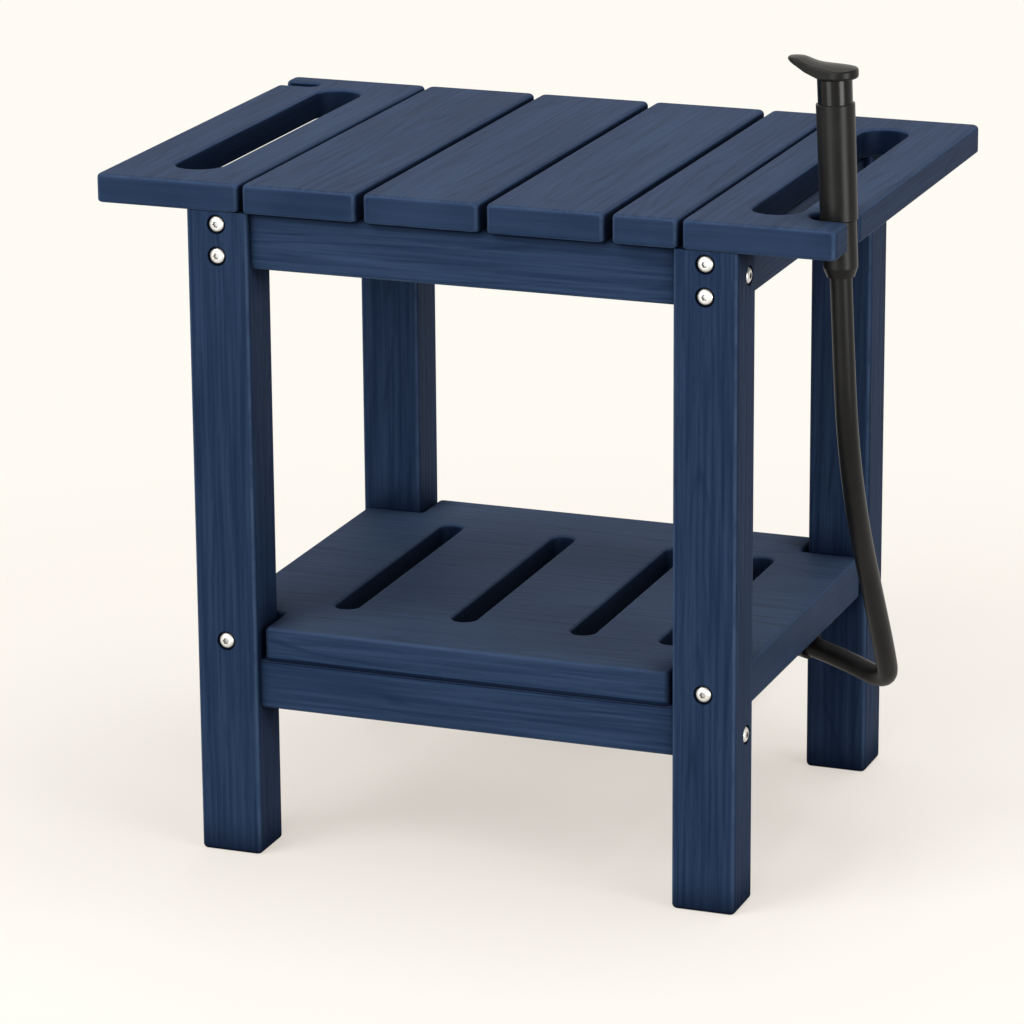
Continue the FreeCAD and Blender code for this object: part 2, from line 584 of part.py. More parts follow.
def build_table(clip_bores):
    """All of the bench: boards, frame, shelf and fasteners."""
    cross_upper = [Vector(sx * LEG_MID_X, sy * LEG_OUT_Y, z)
                   for sx in SIDES for sy in SIDES for z in CROSS_BOLT_ZS]
    cross_lower = [Vector(sx * LEG_MID_X, sy * LEG_OUT_Y, SHELF_BOLT_Z) for sx in SIDES for sy in SIDES]
    long_upper = [Vector(sx * LEG_OUT_X, sy * LONG_BOLT_Y, LONG_BOLT_Z) for sx in SIDES for sy in SIDES]
    long_lower = [Vector(sx * LEG_OUT_X, sy * LONG_BOLT_Y, LOWER_BOLT_Z) for sx in SIDES for sy in SIDES]
    crosswise, lengthwise = toward_middle(Y_AXIS), toward_middle(X_AXIS)
    bores = []
    nut_holes = []
    for node, places, inward, thickness, nut_length, mouth in (
            ("upper_cross", cross_upper, crosswise, LEG_DEPTH, RAIL_NUT_LENGTH, lengthwise),
            ("shelf_cross", cross_lower, crosswise, LEG_DEPTH, SHELF_NUT_LENGTH, lambda place: -Z_AXIS),
            ("upper_long", long_upper, lengthwise, LEG_WIDTH, RAIL_NUT_LENGTH, crosswise),
            ("lower_long", long_lower, lengthwise, LEG_WIDTH, RAIL_NUT_LENGTH, crosswise)):
        bolts, holes = bolt_set(places, inward, thickness)
        nuts, seats = nut_set(places, inward, thickness, nut_length, mouth)
        save(Part.Compound(bolts), node + "_bolts")
        save(Part.Compound(nuts), node + "_nuts")
        bores += holes
        nut_holes += seats

    row = slat_row()
    slat_places = [(x, sy * (RAIL_OUT_Y - SLAT_SCREW_INSET))
                   for entry in row for x in entry[4] for sy in SIDES]
    end_reach = LEG_IN_Y - END_BOARD_SCREW_LEG_GAP
    end_places = [(sx * LEG_MID_X, sy * y) for sx in SIDES for sy in SIDES
                  for y in (end_reach, end_reach - END_BOARD_SCREW_PITCH)]
    shelf_reach = LEG_IN_X - SHELF_SCREW_LEG_GAP
    shelf_places = [(sx * x, sy * RAIL_MID_Y) for sx in SIDES for sy in SIDES
                    for x in (shelf_reach, shelf_reach - SHELF_SCREW_PITCH)]
    upper_bores = []
    for node, places in (("slat_screws", slat_places), ("end_board_screws", end_places)):
        screws, holes = screw_set(places, BOARD_UNDERSIDE, UPPER_RAIL_BOTTOM)
        save(Part.Compound(screws), node)
        upper_bores += holes
    screws, shelf_bores = screw_set(shelf_places, SHELF_BOTTOM, LOWER_RAIL_BOTTOM)
    save(Part.Compound(screws), "shelf_screws")

    for name, x_low, width, stepped, _ in row:
        save(bored(slat(x_low, width, stepped), upper_bores), name)
    save(bored(end_board(NOTCH_WIDTH, NOTCH_FINGER), upper_bores), "end_board_right")
    left_board = half_turned(end_board(LEFT_NOTCH_WIDTH, LEFT_NOTCH_FINGER))
    save(bored(left_board, upper_bores), "end_board_left")
    for side_x, side in zip(SIDES, ("left", "right")):
        save(bored(side_rail(side_x), bores + nut_holes + upper_bores), "upper_rail_" + side)
        for side_y, front in zip(SIDES, ("front", "back")):
            save(bored(leg(side_x, side_y), bores), "leg_%s_%s" % (front, side))
    for side_y, front in zip(SIDES, ("front", "back")):
        upper = long_rail(side_y, UPPER_RAIL_BOTTOM, UPPER_RAIL_HEIGHT)
        save(bored(upper, bores + nut_holes + upper_bores), "upper_rail_" + front)
        lower = long_rail(side_y, LOWER_RAIL_BOTTOM, LOWER_RAIL_HEIGHT)
        save(bored(lower, bores + nut_holes + shelf_bores), "lower_rail_" + front)
    save(bored(shelf_panel(), bores + nut_holes + shelf_bores + clip_bores), "shelf")


def side_cut(points):
    """Solid of a side outline, in the sprayer's own X and Z, carried well past both flanks."""
    width = 2 * HEAD_HEEL_RADIUS
    corners = [Vector(x, -width, z) for x, z in points]
    return Part.Face(Part.makePolygon(corners + corners[:1])).extrude(Y_AXIS * (2 * width))


def head_outline():
    """Outline of the head from above: a wide round heel and a narrow round tip joined by straight flanks."""
    spread = HEAD_HEEL_OFFSET - HEAD_TIP_OFFSET
    lean = math.asin((HEAD_HEEL_RADIUS - HEAD_TIP_RADIUS) / spread)
    heel_mid, tip_mid = Vector(HEAD_HEEL_OFFSET, 0, 0), Vector(HEAD_TIP_OFFSET, 0, 0)
    far = Vector(-math.sin(lean), math.cos(lean), 0)
    near = Vector(far.x, -far.y, 0)
    heel_far, heel_near = heel_mid + far * HEAD_HEEL_RADIUS, heel_mid + near * HEAD_HEEL_RADIUS
    tip_far, tip_near = tip_mid + far * HEAD_TIP_RADIUS, tip_mid + near * HEAD_TIP_RADIUS
    edges = [Part.Arc(heel_near, heel_mid + X_AXIS * HEAD_HEEL_RADIUS, heel_far),
             Part.LineSegment(heel_far, tip_far),
             Part.Arc(tip_far, tip_mid - X_AXIS * HEAD_TIP_RADIUS, tip_near),
             Part.LineSegment(tip_near, heel_near)]
    return Part.Face(Part.Wire([edge.toShape() for edge in edges]))


def underside_rise(x):
    """Height of the head's underside over its foot: flat over the neck, a slow belly, then a steep slope."""
    if x > HEAD_BELLY_END:
        return max(0.0, HEAD_BELLY_RISE * (HEAD_BELLY_FOOT - x))
    return HEAD_BELLY_RISE * (HEAD_BELLY_FOOT - HEAD_BELLY_END) + HEAD_SLOPE_RISE * (HEAD_BELLY_END - x)


def head_underside(foot):
    """Space over the head's underside."""
    beyond, heel = HEAD_CROWN[0][0], HEAD_CROWN[-1][0]
    high = foot + 2 * HEAD_HEEL_RADIUS
    bends = [(x, foot + underside_rise(x)) for x in (beyond, HEAD_BELLY_END, HEAD_BELLY_FOOT)]
    return side_cut([(heel, foot), (heel, high), (beyond, high)] + bends)


def head_crown(foot):
    """Space over the head's crown: a shallow arch carried along a curve that falls from tip to heel."""
    curve = Part.BSplineCurve()
    curve.interpolate([Vector(x, 0, foot + z) for x, z in HEAD_CROWN])
    start = curve.StartPoint
    width = HEAD_HEEL_RADIUS + 4
    fall = HEAD_CROWN_RADIUS - math.sqrt(HEAD_CROWN_RADIUS ** 2 - width ** 2)
    arch = Part.Arc(start + Vector(0, -width, -fall), start, start + Vector(0, width, -fall))
    vault = Part.Wire(curve.toShape()).makePipeShell([Part.Wire(arch.toShape())], False, False)
    return vault.Faces[0].extrude(Z_AXIS * (4 * HEAD_HEEL_RADIUS))


def sprayer_head(foot):
    """Tongue-shaped head with an arched top, eased all round its upper edge and at its heel."""
    outline = head_outline().extrude(Z_AXIS * (foot + 4 * HEAD_HEEL_RADIUS))
    head = head_underside(foot).common(outline).cut(head_crown(foot))
    heel = HEAD_HEEL_OFFSET + HEAD_HEEL_RADIUS
    at_foot = level_edge(foot)
    head = eased(head, HEAD_EDGE_RADIUS, lambda edge: edge.BoundBox.XLength > NEAR
                 and not on_slope(edge, foot) and not at_foot(edge))
    return eased(head, HEAD_HEEL_EASE, lambda edge: at_foot(edge) and edge.BoundBox.XMax > heel - NEAR)


def on_slope(edge, foot):
    """Whether an edge lies in the head's sloping underside."""
    return all(abs(foot + underside_rise(point.x) - point.z) < 0.01 for point in edge.discretize(5))


def spray_disc():
    """Disc along +Z with small nozzles on its outer face: one in the middle and a ring round it."""
    disc = rod(SPRAY_FACE_RADIUS, ORIGIN, Z_AXIS, SPRAY_FACE_THICKNESS)
    nozzle = Part.makeCone(NOZZLE_RADIUS, NOZZLE_TIP_RADIUS, NOZZLE_HEIGHT, Z_AXIS * SPRAY_FACE_THICKNESS)
    outer = nozzle.copy()
    outer.translate(X_AXIS * NOZZLE_RING_RADIUS)
    return disc.multiFuse([nozzle] + ring_of(outer, NOZZLE_RING_COUNT))


def build_sprayer():
    """Head, neck, barrel and spray face on one body, and the sleeve with its stem and seal on another."""
    foot = BARREL_LENGTH + NECK_LENGTH
    outward = Vector(-HEAD_SLOPE_RISE, 0, -1)
    outward.normalize()
    face_mid = Vector(SPRAY_FACE_OFFSET, 0, foot + underside_rise(SPRAY_FACE_OFFSET))
    recess = rod(SPRAY_FACE_RADIUS + SPRAY_FACE_CLEARANCE, face_mid - outward * SPRAY_FACE_THICKNESS, outward,
                 2 * SPRAY_FACE_THICKNESS)
    face = aimed(spray_disc(), face_mid - outward * (SPRAY_FACE_THICKNESS - SPRAY_FACE_CLEARANCE), outward)
    head = sprayer_head(foot).cut(recess)
    neck = turned([(WATERWAY_RADIUS, BARREL_LENGTH - NECK_SPIGOT_LENGTH),
                   (NECK_SPIGOT_RADIUS, BARREL_LENGTH - NECK_SPIGOT_LENGTH),
                   (NECK_SPIGOT_RADIUS, BARREL_LENGTH), (NECK_FOOT_RADIUS, BARREL_LENGTH),
                   (NECK_TOP_RADIUS, foot + NECK_TOP_RADIUS), (WATERWAY_RADIUS, foot + NECK_TOP_RADIUS)])
    neck = neck.cut(head_underside(foot))
    socket_floor = BARREL_LENGTH - NECK_SPIGOT_LENGTH - SPIGOT_CLEARANCE
    socket_radius = NECK_SPIGOT_RADIUS + SPIGOT_CLEARANCE
    stem_bore = STEM_RADIUS + STEM_CLEARANCE
    stem_roof = STEM_RISE + STEM_CLEARANCE
    barrel = turned([(stem_bore, 0), (BARREL_FOOT_RADIUS, 0), (BARREL_TOP_RADIUS, BARREL_LENGTH),
                     (socket_radius, BARREL_LENGTH), (socket_radius, socket_floor),
                     (WATERWAY_RADIUS, socket_floor), (WATERWAY_RADIUS, stem_roof), (stem_bore, stem_roof)])
    rims = [edge for edge in barrel.Edges if edge.BoundBox.XMax > BARREL_FOOT_RADIUS - NEAR
            and edge.BoundBox.ZLength < NEAR]
    barrel = barrel.makeFillet(BARREL_EDGE_RADIUS, rims)

    top, shoulder = -SLEEVE_GAP, -SLEEVE_GAP - SLEEVE_LENGTH
    mouth = shoulder - SLEEVE_TAPER_LENGTH
    socket = mouth + HOSE_SOCKET_DEPTH
    hose_bore = HOSE_RADIUS + HOSE_SOCKET_CLEARANCE
    stem_seat = STEM_RADIUS + SPIGOT_CLEARANCE
    stem_foot = top - STEM_DEPTH
    sleeve = turned([(stem_seat, top), (SLEEVE_RADIUS, top), (SLEEVE_RADIUS, shoulder),
                     (SLEEVE_MOUTH_RADIUS, mouth), (hose_bore, mouth), (hose_bore, socket),
                     (STEM_BORE_RADIUS, socket), (STEM_BORE_RADIUS, stem_foot - SPIGOT_CLEARANCE),
                     (stem_seat, stem_foot - SPIGOT_CLEARANCE)])
    sleeve = eased(sleeve, SLEEVE_TURN_RADIUS, lambda edge: level_edge(shoulder)(edge)
                   and edge.BoundBox.XMax > SLEEVE_RADIUS - NEAR)
    low, high = SEAL_HEIGHT - SEAL_GROOVE_WIDTH / 2, SEAL_HEIGHT + SEAL_GROOVE_WIDTH / 2
    stem = turned([(STEM_BORE_RADIUS, stem_foot), (STEM_RADIUS, stem_foot), (STEM_RADIUS, low),
                   (SEAL_GROOVE_RADIUS, low), (SEAL_GROOVE_RADIUS, high), (STEM_RADIUS, high),
                   (STEM_RADIUS, STEM_RISE), (STEM_BORE_RADIUS, STEM_RISE)])
    seal = Part.makeTorus(SEAL_GROOVE_RADIUS + SEAL_WIRE_RADIUS + SPIGOT_CLEARANCE, SEAL_WIRE_RADIUS,
                          Vector(0, 0, SEAL_HEIGHT))
    for node, shape in (("sprayer_head", head), ("spray_face", face), ("sprayer_neck", neck),
                        ("sprayer_barrel", barrel), ("hose_sleeve", sleeve), ("swivel_stem", stem),
                        ("swivel_seal", seal)):
        shape.Placement = SPRAYER_PLACE.multiply(shape.Placement)
        save(shape, node)


def route_edges(points):
    """Straight runs joined by tangent arcs, each arc as large as its shorter run allows."""
    edges, radii = [], []
    last = points[0]
    for before, corner, after in zip(points, points[1:], points[2:]):
        back, ahead = before - corner, after - corner
        cut = ARC_SHARE * min(back.Length, ahead.Length)
        back.normalize()
        ahead.normalize()
        half_turn = (math.pi - back.getAngle(ahead)) / 2
        radius = cut / math.tan(half_turn)
        middle = back + ahead
        middle.normalize()
        crown = corner + middle * (radius / math.cos(half_turn) - radius)
        edges.append(Part.LineSegment(last, corner + back * cut))
        edges.append(Part.Arc(corner + back * cut, crown, corner + ahead * cut))
        last = corner + ahead * cut
        radii.append(radius)
    edges.append(Part.LineSegment(last, points[-1]))
    return [edge.toShape() for edge in edges], radii


def tube(edges):
    """Round tube of the hose's size along joined edges."""
    path = Part.Wire(edges)
    first = edges[0]
    start = first.FirstParameter
    ring = Part.Circle(first.valueAt(start), first.tangentAt(start), HOSE_RADIUS)
    return path.makePipeShell([Part.Wire(ring.toShape())], True, False), path.Length


def say_tube(node, solid, length):
    """Print a tube's length and how its volume compares with section times length."""
    ideal = math.pi * HOSE_RADIUS ** 2 * length
    print("%s: length %.1f mm, volume %.4f of section times length" % (node, length, solid.Volume / ideal))


def coil_edges():
    """Flat oval spiral from inside out, whose end rises to the nut's height and runs straight into it."""
    near, far = (Vector(COIL_CENTRE_X, y, COIL_HEIGHT) for y in (COIL_CENTRE_Y, COIL_FAR_Y))
    half_pitch = X_AXIS * (COIL_PITCH / 2)
    middle_radius = COIL_INNER_RADIUS + COIL_PITCH / 2
    outer_radius = COIL_INNER_RADIUS + COIL_PITCH

    def spot(middle, radius, degrees):
        angle = math.radians(degrees)
        return middle + Vector(radius * math.cos(angle), radius * math.sin(angle), 0)

    def bend(middle, radius, start, sweep):
        places = [spot(middle, radius, start + share * sweep) for share in (0, 0.5, 1)]
        return Part.Arc(*places).toShape()

    def run(start, finish):
        return Part.LineSegment(start, finish).toShape()

    entry = spot(far, COIL_INNER_RADIUS, 0)
    outside = spot(far, outer_radius, 0)
    edges = [run(HOSE_TAIL_ROUTE[-1], entry),
             bend(far, COIL_INNER_RADIUS, 0, 180),
             run(spot(far, COIL_INNER_RADIUS, 180), spot(near, COIL_INNER_RADIUS, 180)),
             bend(near + half_pitch, middle_radius, 180, 180),
             run(spot(near, outer_radius, 0), outside)]
    last = bend(far, outer_radius, 0, 90)
    last.rotate(outside, Y_AXIS, COIL_END_LEAN)
    edges.append(last)
    finish, way = last.valueAt(last.LastParameter), last.tangentAt(last.LastParameter)
    edges.append(run(finish, finish + way * COIL_END_RUN))
    return edges, finish + way * COIL_END_RUN, way


def least_self_gap(path):
    """Least gap between stretches of a coil that are over two hose diameters apart along it."""
    count = 400
    points = path.discretize(count)
    skip = int(4 * HOSE_RADIUS * math.pi / path.Length * count) + 1
    return min(points[i].distanceToPoint(points[j])
               for i in range(count) for j in range(i + skip, count)) - 2 * HOSE_RADIUS


def hose_tie():
    """Flat strap round the two strands where the coil's outer turns lie side by side."""
    half_width = COIL_PITCH / 2 + HOSE_RADIUS + TIE_CLEARANCE
    half_height = HOSE_RADIUS + TIE_CLEARANCE

    def frame(spread):
        across, up = half_width + spread, half_height + spread
        block = span_box(-across, across, -TIE_WIDTH / 2, TIE_WIDTH / 2, -up, up)
        return eased(block, up - NEAR * 10, long_edge(Y_AXIS))

    strap = frame(TIE_THICKNESS).cut(frame(0))
    middle = COIL_INNER_RADIUS + COIL_PITCH / 2
    strap.translate(Vector(middle, 0, 0))
    strap.rotate(ORIGIN, Z_AXIS, TIE_ANGLE)
    strap.translate(Vector(COIL_CENTRE_X, COIL_FAR_Y, COIL_HEIGHT))
    return strap


def end_nut(finish, way):
    """Nut on the hose's far end and the washer in it, along the hose's last direction."""
    full = NUT_CONE_LENGTH + NUT_BODY_LENGTH
    thread_floor = full - NUT_THREAD_DEPTH
    seat = thread_floor - WASHER_THICKNESS
    bore = HOSE_RADIUS + NUT_HOSE_CLEARANCE
    nut = turned([(bore, 0), (NUT_CONE_RADIUS, 0), (NUT_BODY_RADIUS, NUT_CONE_LENGTH),
                  (NUT_BODY_RADIUS, full), (NUT_THREAD_RADIUS, full), (NUT_THREAD_RADIUS, thread_floor),
                  (WASHER_RADIUS, thread_floor), (WASHER_RADIUS, seat), (WASHER_HOLE_RADIUS, seat),
                  (WASHER_HOLE_RADIUS, NUT_GRIP), (bore, NUT_GRIP)])
    flute = rod(NUT_FLUTE_RADIUS, Vector(NUT_BODY_RADIUS + NUT_FLUTE_RADIUS - NUT_FLUTE_BITE, 0,
                                         NUT_CONE_LENGTH + NUT_FLUTE_SETBACK), Z_AXIS, NUT_BODY_LENGTH)
    nut = nut.cut(Part.Compound(ring_of(flute, NUT_FLUTES)))
    rim = WASHER_RADIUS - WASHER_CLEARANCE
    washer = turned([(WASHER_HOLE_RADIUS, seat), (rim, seat), (rim, thread_floor),
                     (WASHER_HOLE_RADIUS, thread_floor)])
    place = finish - way * NUT_GRIP
    return aimed(nut, place, way), aimed(washer, place, way)


def hose_clip():
    """Saddle clip with two screwed ears, the screws, and the screws' bores in the shelf."""
    start, finish = HOSE_DROP_ROUTE[-2], HOSE_DROP_ROUTE[-1]
    along = finish - start
    middle = start + along * CLIP_PLACE_SHARE
    along.normalize()
    rise = SHELF_SIDE_BOTTOM - middle.z
    bore = HOSE_RADIUS + CLIP_CLEARANCE
    wall = bore + CLIP_WALL
    ear_reach = wall + CLIP_EAR_LENGTH
    half = CLIP_WIDTH / 2
    hose_line = Vector(-half - 1, 0, 0)
    saddle = rod(wall, Vector(-half, 0, 0), X_AXIS, CLIP_WIDTH)
    saddle = saddle.fuse(span_box(-half, half, -wall, wall, 0, rise))
    saddle = saddle.fuse(span_box(-half, half, -ear_reach, ear_reach, rise - CLIP_EAR_THICKNESS, rise))
    saddle = saddle.cut(span_box(-half - 1, half + 1, -wall - 1, wall + 1, rise, rise + wall))
    hollow = rod(bore, hose_line, X_AXIS, CLIP_WIDTH + 2)
    saddle = saddle.cut(hollow.fuse(span_box(-half - 1, half + 1, -bore, bore, 0, rise + 1)))
    screws, bores = [], []
    ear_mid = wall + CLIP_EAR_LENGTH / 2
    seat = rise - CLIP_EAR_THICKNESS
    for side in SIDES:
        place = Vector(0, side * ear_mid, seat)
        shank = rod(CLIP_SCREW_RADIUS, place, Z_AXIS, CLIP_EAR_THICKNESS + CLIP_SCREW_BITE)
        head = rod(CLIP_SCREW_HEAD_RADIUS, place - Z_AXIS * CLIP_SCREW_HEAD_HEIGHT, Z_AXIS,
                   CLIP_SCREW_HEAD_HEIGHT)
        screws.append(shank.fuse(head))
        bores.append(rod(CLIP_SCREW_RADIUS + SCREW_CLEARANCE, place - Z_AXIS, Z_AXIS,
                         CLIP_EAR_THICKNESS + CLIP_SCREW_BITE + 1 + SCREW_CLEARANCE))
    saddle = saddle.cut(Part.Compound(bores)).removeSplitter()
    turn = math.degrees(math.atan2(along.y, along.x))
    place = FreeCAD.Placement(middle, FreeCAD.Rotation(Z_AXIS, turn))
    for shape in [saddle] + screws + bores:
        shape.Placement = place.multiply(shape.Placement)
    return saddle, screws, bores


def build_hose():
    """Hose in its stretches, its coil, tie, nut and washer."""
    for node, route in (("hose_drop", HOSE_DROP_ROUTE), ("hose_tail", HOSE_TAIL_ROUTE)):
        edges, radii = route_edges(route)
        solid, length = tube(edges)
        say_tube(node, solid, length)
        print("  bend radii: " + ", ".join("%.0f" % radius for radius in radii))
        save(solid, node)
    edges, finish, way = coil_edges()
    coil, length = tube(edges)
    say_tube("hose_coil", coil, length)
    print("  least gap between turns %.2f mm" % least_self_gap(Part.Wire(edges)))
    save(coil, "hose_coil")
    nut, washer = end_nut(finish, way)
    save(nut, "hose_end_nut")
    save(washer, "hose_end_washer")
    save(hose_tie(), "hose_tie")


def main():
    """Build every node into parts."""
    os.makedirs("parts", exist_ok=True)
    clip, clip_screws, clip_bores = hose_clip()
    save(clip, "hose_clip")
    save(Part.Compound(clip_screws), "hose_clip_screws")
    build_table(clip_bores)
    build_sprayer()
    build_hose()


main()
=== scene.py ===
"""Looks of a slatted bench table with a lower shelf and a hand sprayer on a hose.

Metres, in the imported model's own frame: +X along the long front, +Y to the back, +Z up.
"""
import logging
import math
from dataclasses import dataclass
from enum import Enum
from typing import Callable

import bpy
from mathutils import Matrix, Vector


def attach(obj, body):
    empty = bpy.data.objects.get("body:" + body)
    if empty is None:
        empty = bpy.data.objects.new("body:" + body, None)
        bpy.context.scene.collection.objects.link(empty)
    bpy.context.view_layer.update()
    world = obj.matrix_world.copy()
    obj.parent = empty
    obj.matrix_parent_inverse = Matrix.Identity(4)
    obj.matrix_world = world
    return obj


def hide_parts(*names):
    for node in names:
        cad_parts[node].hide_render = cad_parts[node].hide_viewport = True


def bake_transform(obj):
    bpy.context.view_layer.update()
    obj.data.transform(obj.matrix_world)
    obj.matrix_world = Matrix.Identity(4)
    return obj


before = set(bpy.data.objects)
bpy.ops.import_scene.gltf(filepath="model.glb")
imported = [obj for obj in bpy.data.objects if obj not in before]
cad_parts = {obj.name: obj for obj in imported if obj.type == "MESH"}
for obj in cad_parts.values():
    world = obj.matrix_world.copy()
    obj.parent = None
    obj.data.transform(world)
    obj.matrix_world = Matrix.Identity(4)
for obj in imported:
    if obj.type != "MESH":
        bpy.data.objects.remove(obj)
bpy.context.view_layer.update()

Colour = tuple[float, float, float]
Point = tuple[float, float, float]
Pair = tuple[float, float]
Region = tuple[Point, Point]
Socket = bpy.types.NodeSocket
Value = float | Socket
Tint = Colour | Socket

# Rays that feel for corners at each point of a surface
OPENNESS_SAMPLES = 6
# Least share of a direction along an axis for it to count as square to the others, and as dead level
SQUARE_ON = 0.9
DEAD_LEVEL = 0.99

logging.basicConfig(level=logging.INFO, format="%(name)s: %(message)s")
log = logging.getLogger("bench")


class GrainWay(Enum):
    """The way a board's grain runs, with the turn that brings it onto the pattern's Z."""

    LENGTHWISE = (0.0, -math.pi / 2, 0.0)
    CROSSWISE = (math.pi / 2, 0.0, 0.0)
    UPRIGHT = (0.0, 0.0, 0.0)


@dataclass(frozen=True)
class Layer:
    """One layer of noise: how often it changes in a metre along each axis, and how rough it is."""

    scale: Point
    detail: float
    roughness: float = 0.5
    distortion: float = 0.0
    turn: Point = (0.0, 0.0, 0.0)

    @classmethod
    def even(cls, scale: float, detail: float, roughness: float = 0.5) -> "Layer":
        """A layer that changes alike along all three axes."""
        return cls((scale, scale, scale), detail, roughness)


class Graph:
    """A shader node tree that is written as calls."""

    def __init__(self, tree: bpy.types.NodeTree) -> None:
        """Keep the tree of a material, world or group to write into."""
        self.tree = tree

    def put(self, kind: str, sockets: dict[str | int, object] | None = None,
            **settings: object) -> bpy.types.Node:
        """Add a node, set its own settings, and fill or link its inputs.

        Args:
            kind: The node's Blender type.
            sockets: Input names or numbers, with values or output sockets to link from.
            **settings: Attributes of the node itself.

        Returns:
            The new node.
        """
        node = self.tree.nodes.new(kind)
        for name, value in settings.items():
            setattr(node, name, value)
        for key, value in (sockets or {}).items():
            if isinstance(value, Socket):
                self.tree.links.new(value, node.inputs[key])
            else:
                node.inputs[key].default_value = value
        return node

    def math(self, operation: str, *values: Value) -> Socket:
        """Work out one number from one or two others."""
        return self.put("ShaderNodeMath", dict(enumerate(values)), operation=operation).outputs[0]

    def times(self, first: Value, *others: Value) -> Value:
        """Multiply numbers.

        Args:
            first: The first number.
            *others: The numbers to multiply it by, one after the other.

        Returns:
            The product.
        """
        product = first
        for other in others:
            product = self.math("MULTIPLY", product, other)
        return product

    def rest(self, share: Value) -> Socket:
        """What a share leaves of 1."""
        return self.math("SUBTRACT", 1.0, share)

    def step(self, value: Value, low: float, high: float) -> Socket:
        """Rise smoothly from 0 at low to 1 at high."""
        return self.put("ShaderNodeMapRange", {0: value, 1: low, 2: high},
                        interpolation_type="SMOOTHSTEP").outputs[0]

    def span(self, value: Value, low: float, high: float) -> Socket:
        """Carry a value from 0 to 1 onto the range from low to high."""
        return self.put("ShaderNodeMapRange", {0: value, 3: low, 4: high}).outputs[0]

    def axes(self, vector: Socket) -> bpy.types.NodeOutputs:
        """Split a vector into its X, Y and Z."""
        return self.put("ShaderNodeSeparateXYZ", {0: vector}).outputs

    def size(self, vector: Socket) -> Socket:
        """Drop the signs of a vector's axes."""
        return self.put("ShaderNodeVectorMath", {0: vector}, operation="ABSOLUTE").outputs[0]

    def stretch(self, vector: Socket, scale: Point, turn: Point = (0.0, 0.0, 0.0)) -> Socket:
        """Scale and turn a vector."""
        return self.put("ShaderNodeMapping", {"Vector": vector, "Scale": scale, "Rotation": turn}).outputs[0]

    def noise(self, vector: Socket, layer: Layer) -> Socket:
        """Read one layer of noise at a vector.

        Args:
            vector: The place to read it at.
            layer: The layer.

        Returns:
            The noise, from 0 to 1.
        """
        place = self.stretch(vector, layer.scale, layer.turn)
        return self.put("ShaderNodeTexNoise", {"Vector": place, "Scale": 1.0, "Detail": layer.detail,
                                               "Roughness": layer.roughness,
                                               "Distortion": layer.distortion}).outputs[0]

    def openness(self, reach: float) -> Socket:
        """Say how open the air is within a reach: 1 on an open face, less in a corner."""
        return self.put("ShaderNodeAmbientOcclusion", {"Distance": reach},
                        samples=OPENNESS_SAMPLES).outputs["AO"]

    def blend(self, share: Value, first: Value, second: Value) -> Socket:
        """Go from one number to another by a share from 0 to 1."""
        return self.put("ShaderNodeMix", {0: share, 2: first, 3: second}, data_type="FLOAT").outputs[0]

    def mix(self, share: Value, first: Tint, second: Tint) -> Socket:
        """Mix two colours, each written out or linked.

        Args:
            share: The second colour's share, from 0 to 1.
            first: The colour at 0.
            second: The colour at 1.

        Returns:
            The mixed colour.
        """
        sockets = {0: share}
        for place, colour in ((6, first), (7, second)):
            sockets[place] = (*colour, 1.0) if isinstance(colour, tuple) else colour
        return self.put("ShaderNodeMix", sockets, data_type="RGBA").outputs[2]

    def bump(self, height: Socket, strength: float, distance: float) -> Socket:
        """Turn a height into a normal."""
        return self.put("ShaderNodeBump", {"Strength": strength, "Distance": distance,
                                           "Height": height}).outputs[0]

    def pattern(self, tree: bpy.types.NodeTree, **sockets: Socket | Point) -> bpy.types.NodeOutputs:
        """Place a shared group, with its inputs named in lower case, and return its outputs."""
        filled = {name.capitalize(): value for name, value in sockets.items()}
        return self.put("ShaderNodeGroup", filled, node_tree=tree).outputs


def new_pattern(name: str, inputs: tuple[str, ...],
                outputs: tuple[str, ...]) -> tuple[Graph, dict[str, Socket], bpy.types.Node]:
    """Start a shared shader group of vectors in and values out.

    Args:
        name: The group's name.
        inputs: Names of its vector inputs.
        outputs: Names of its value outputs.

    Returns:
        The graph to write, its input sockets by name, and its output node.
    """
    tree = bpy.data.node_groups.new(name, "ShaderNodeTree")
    for label in inputs:
        tree.interface.new_socket(name=label, in_out="INPUT", socket_type="NodeSocketVector")
    for label in outputs:
        tree.interface.new_socket(name=label, in_out="OUTPUT", socket_type="NodeSocketFloat")
    source = tree.nodes.new("NodeGroupInput")
    return Graph(tree), {label: source.outputs[label] for label in inputs}, tree.nodes.new("NodeGroupOutput")


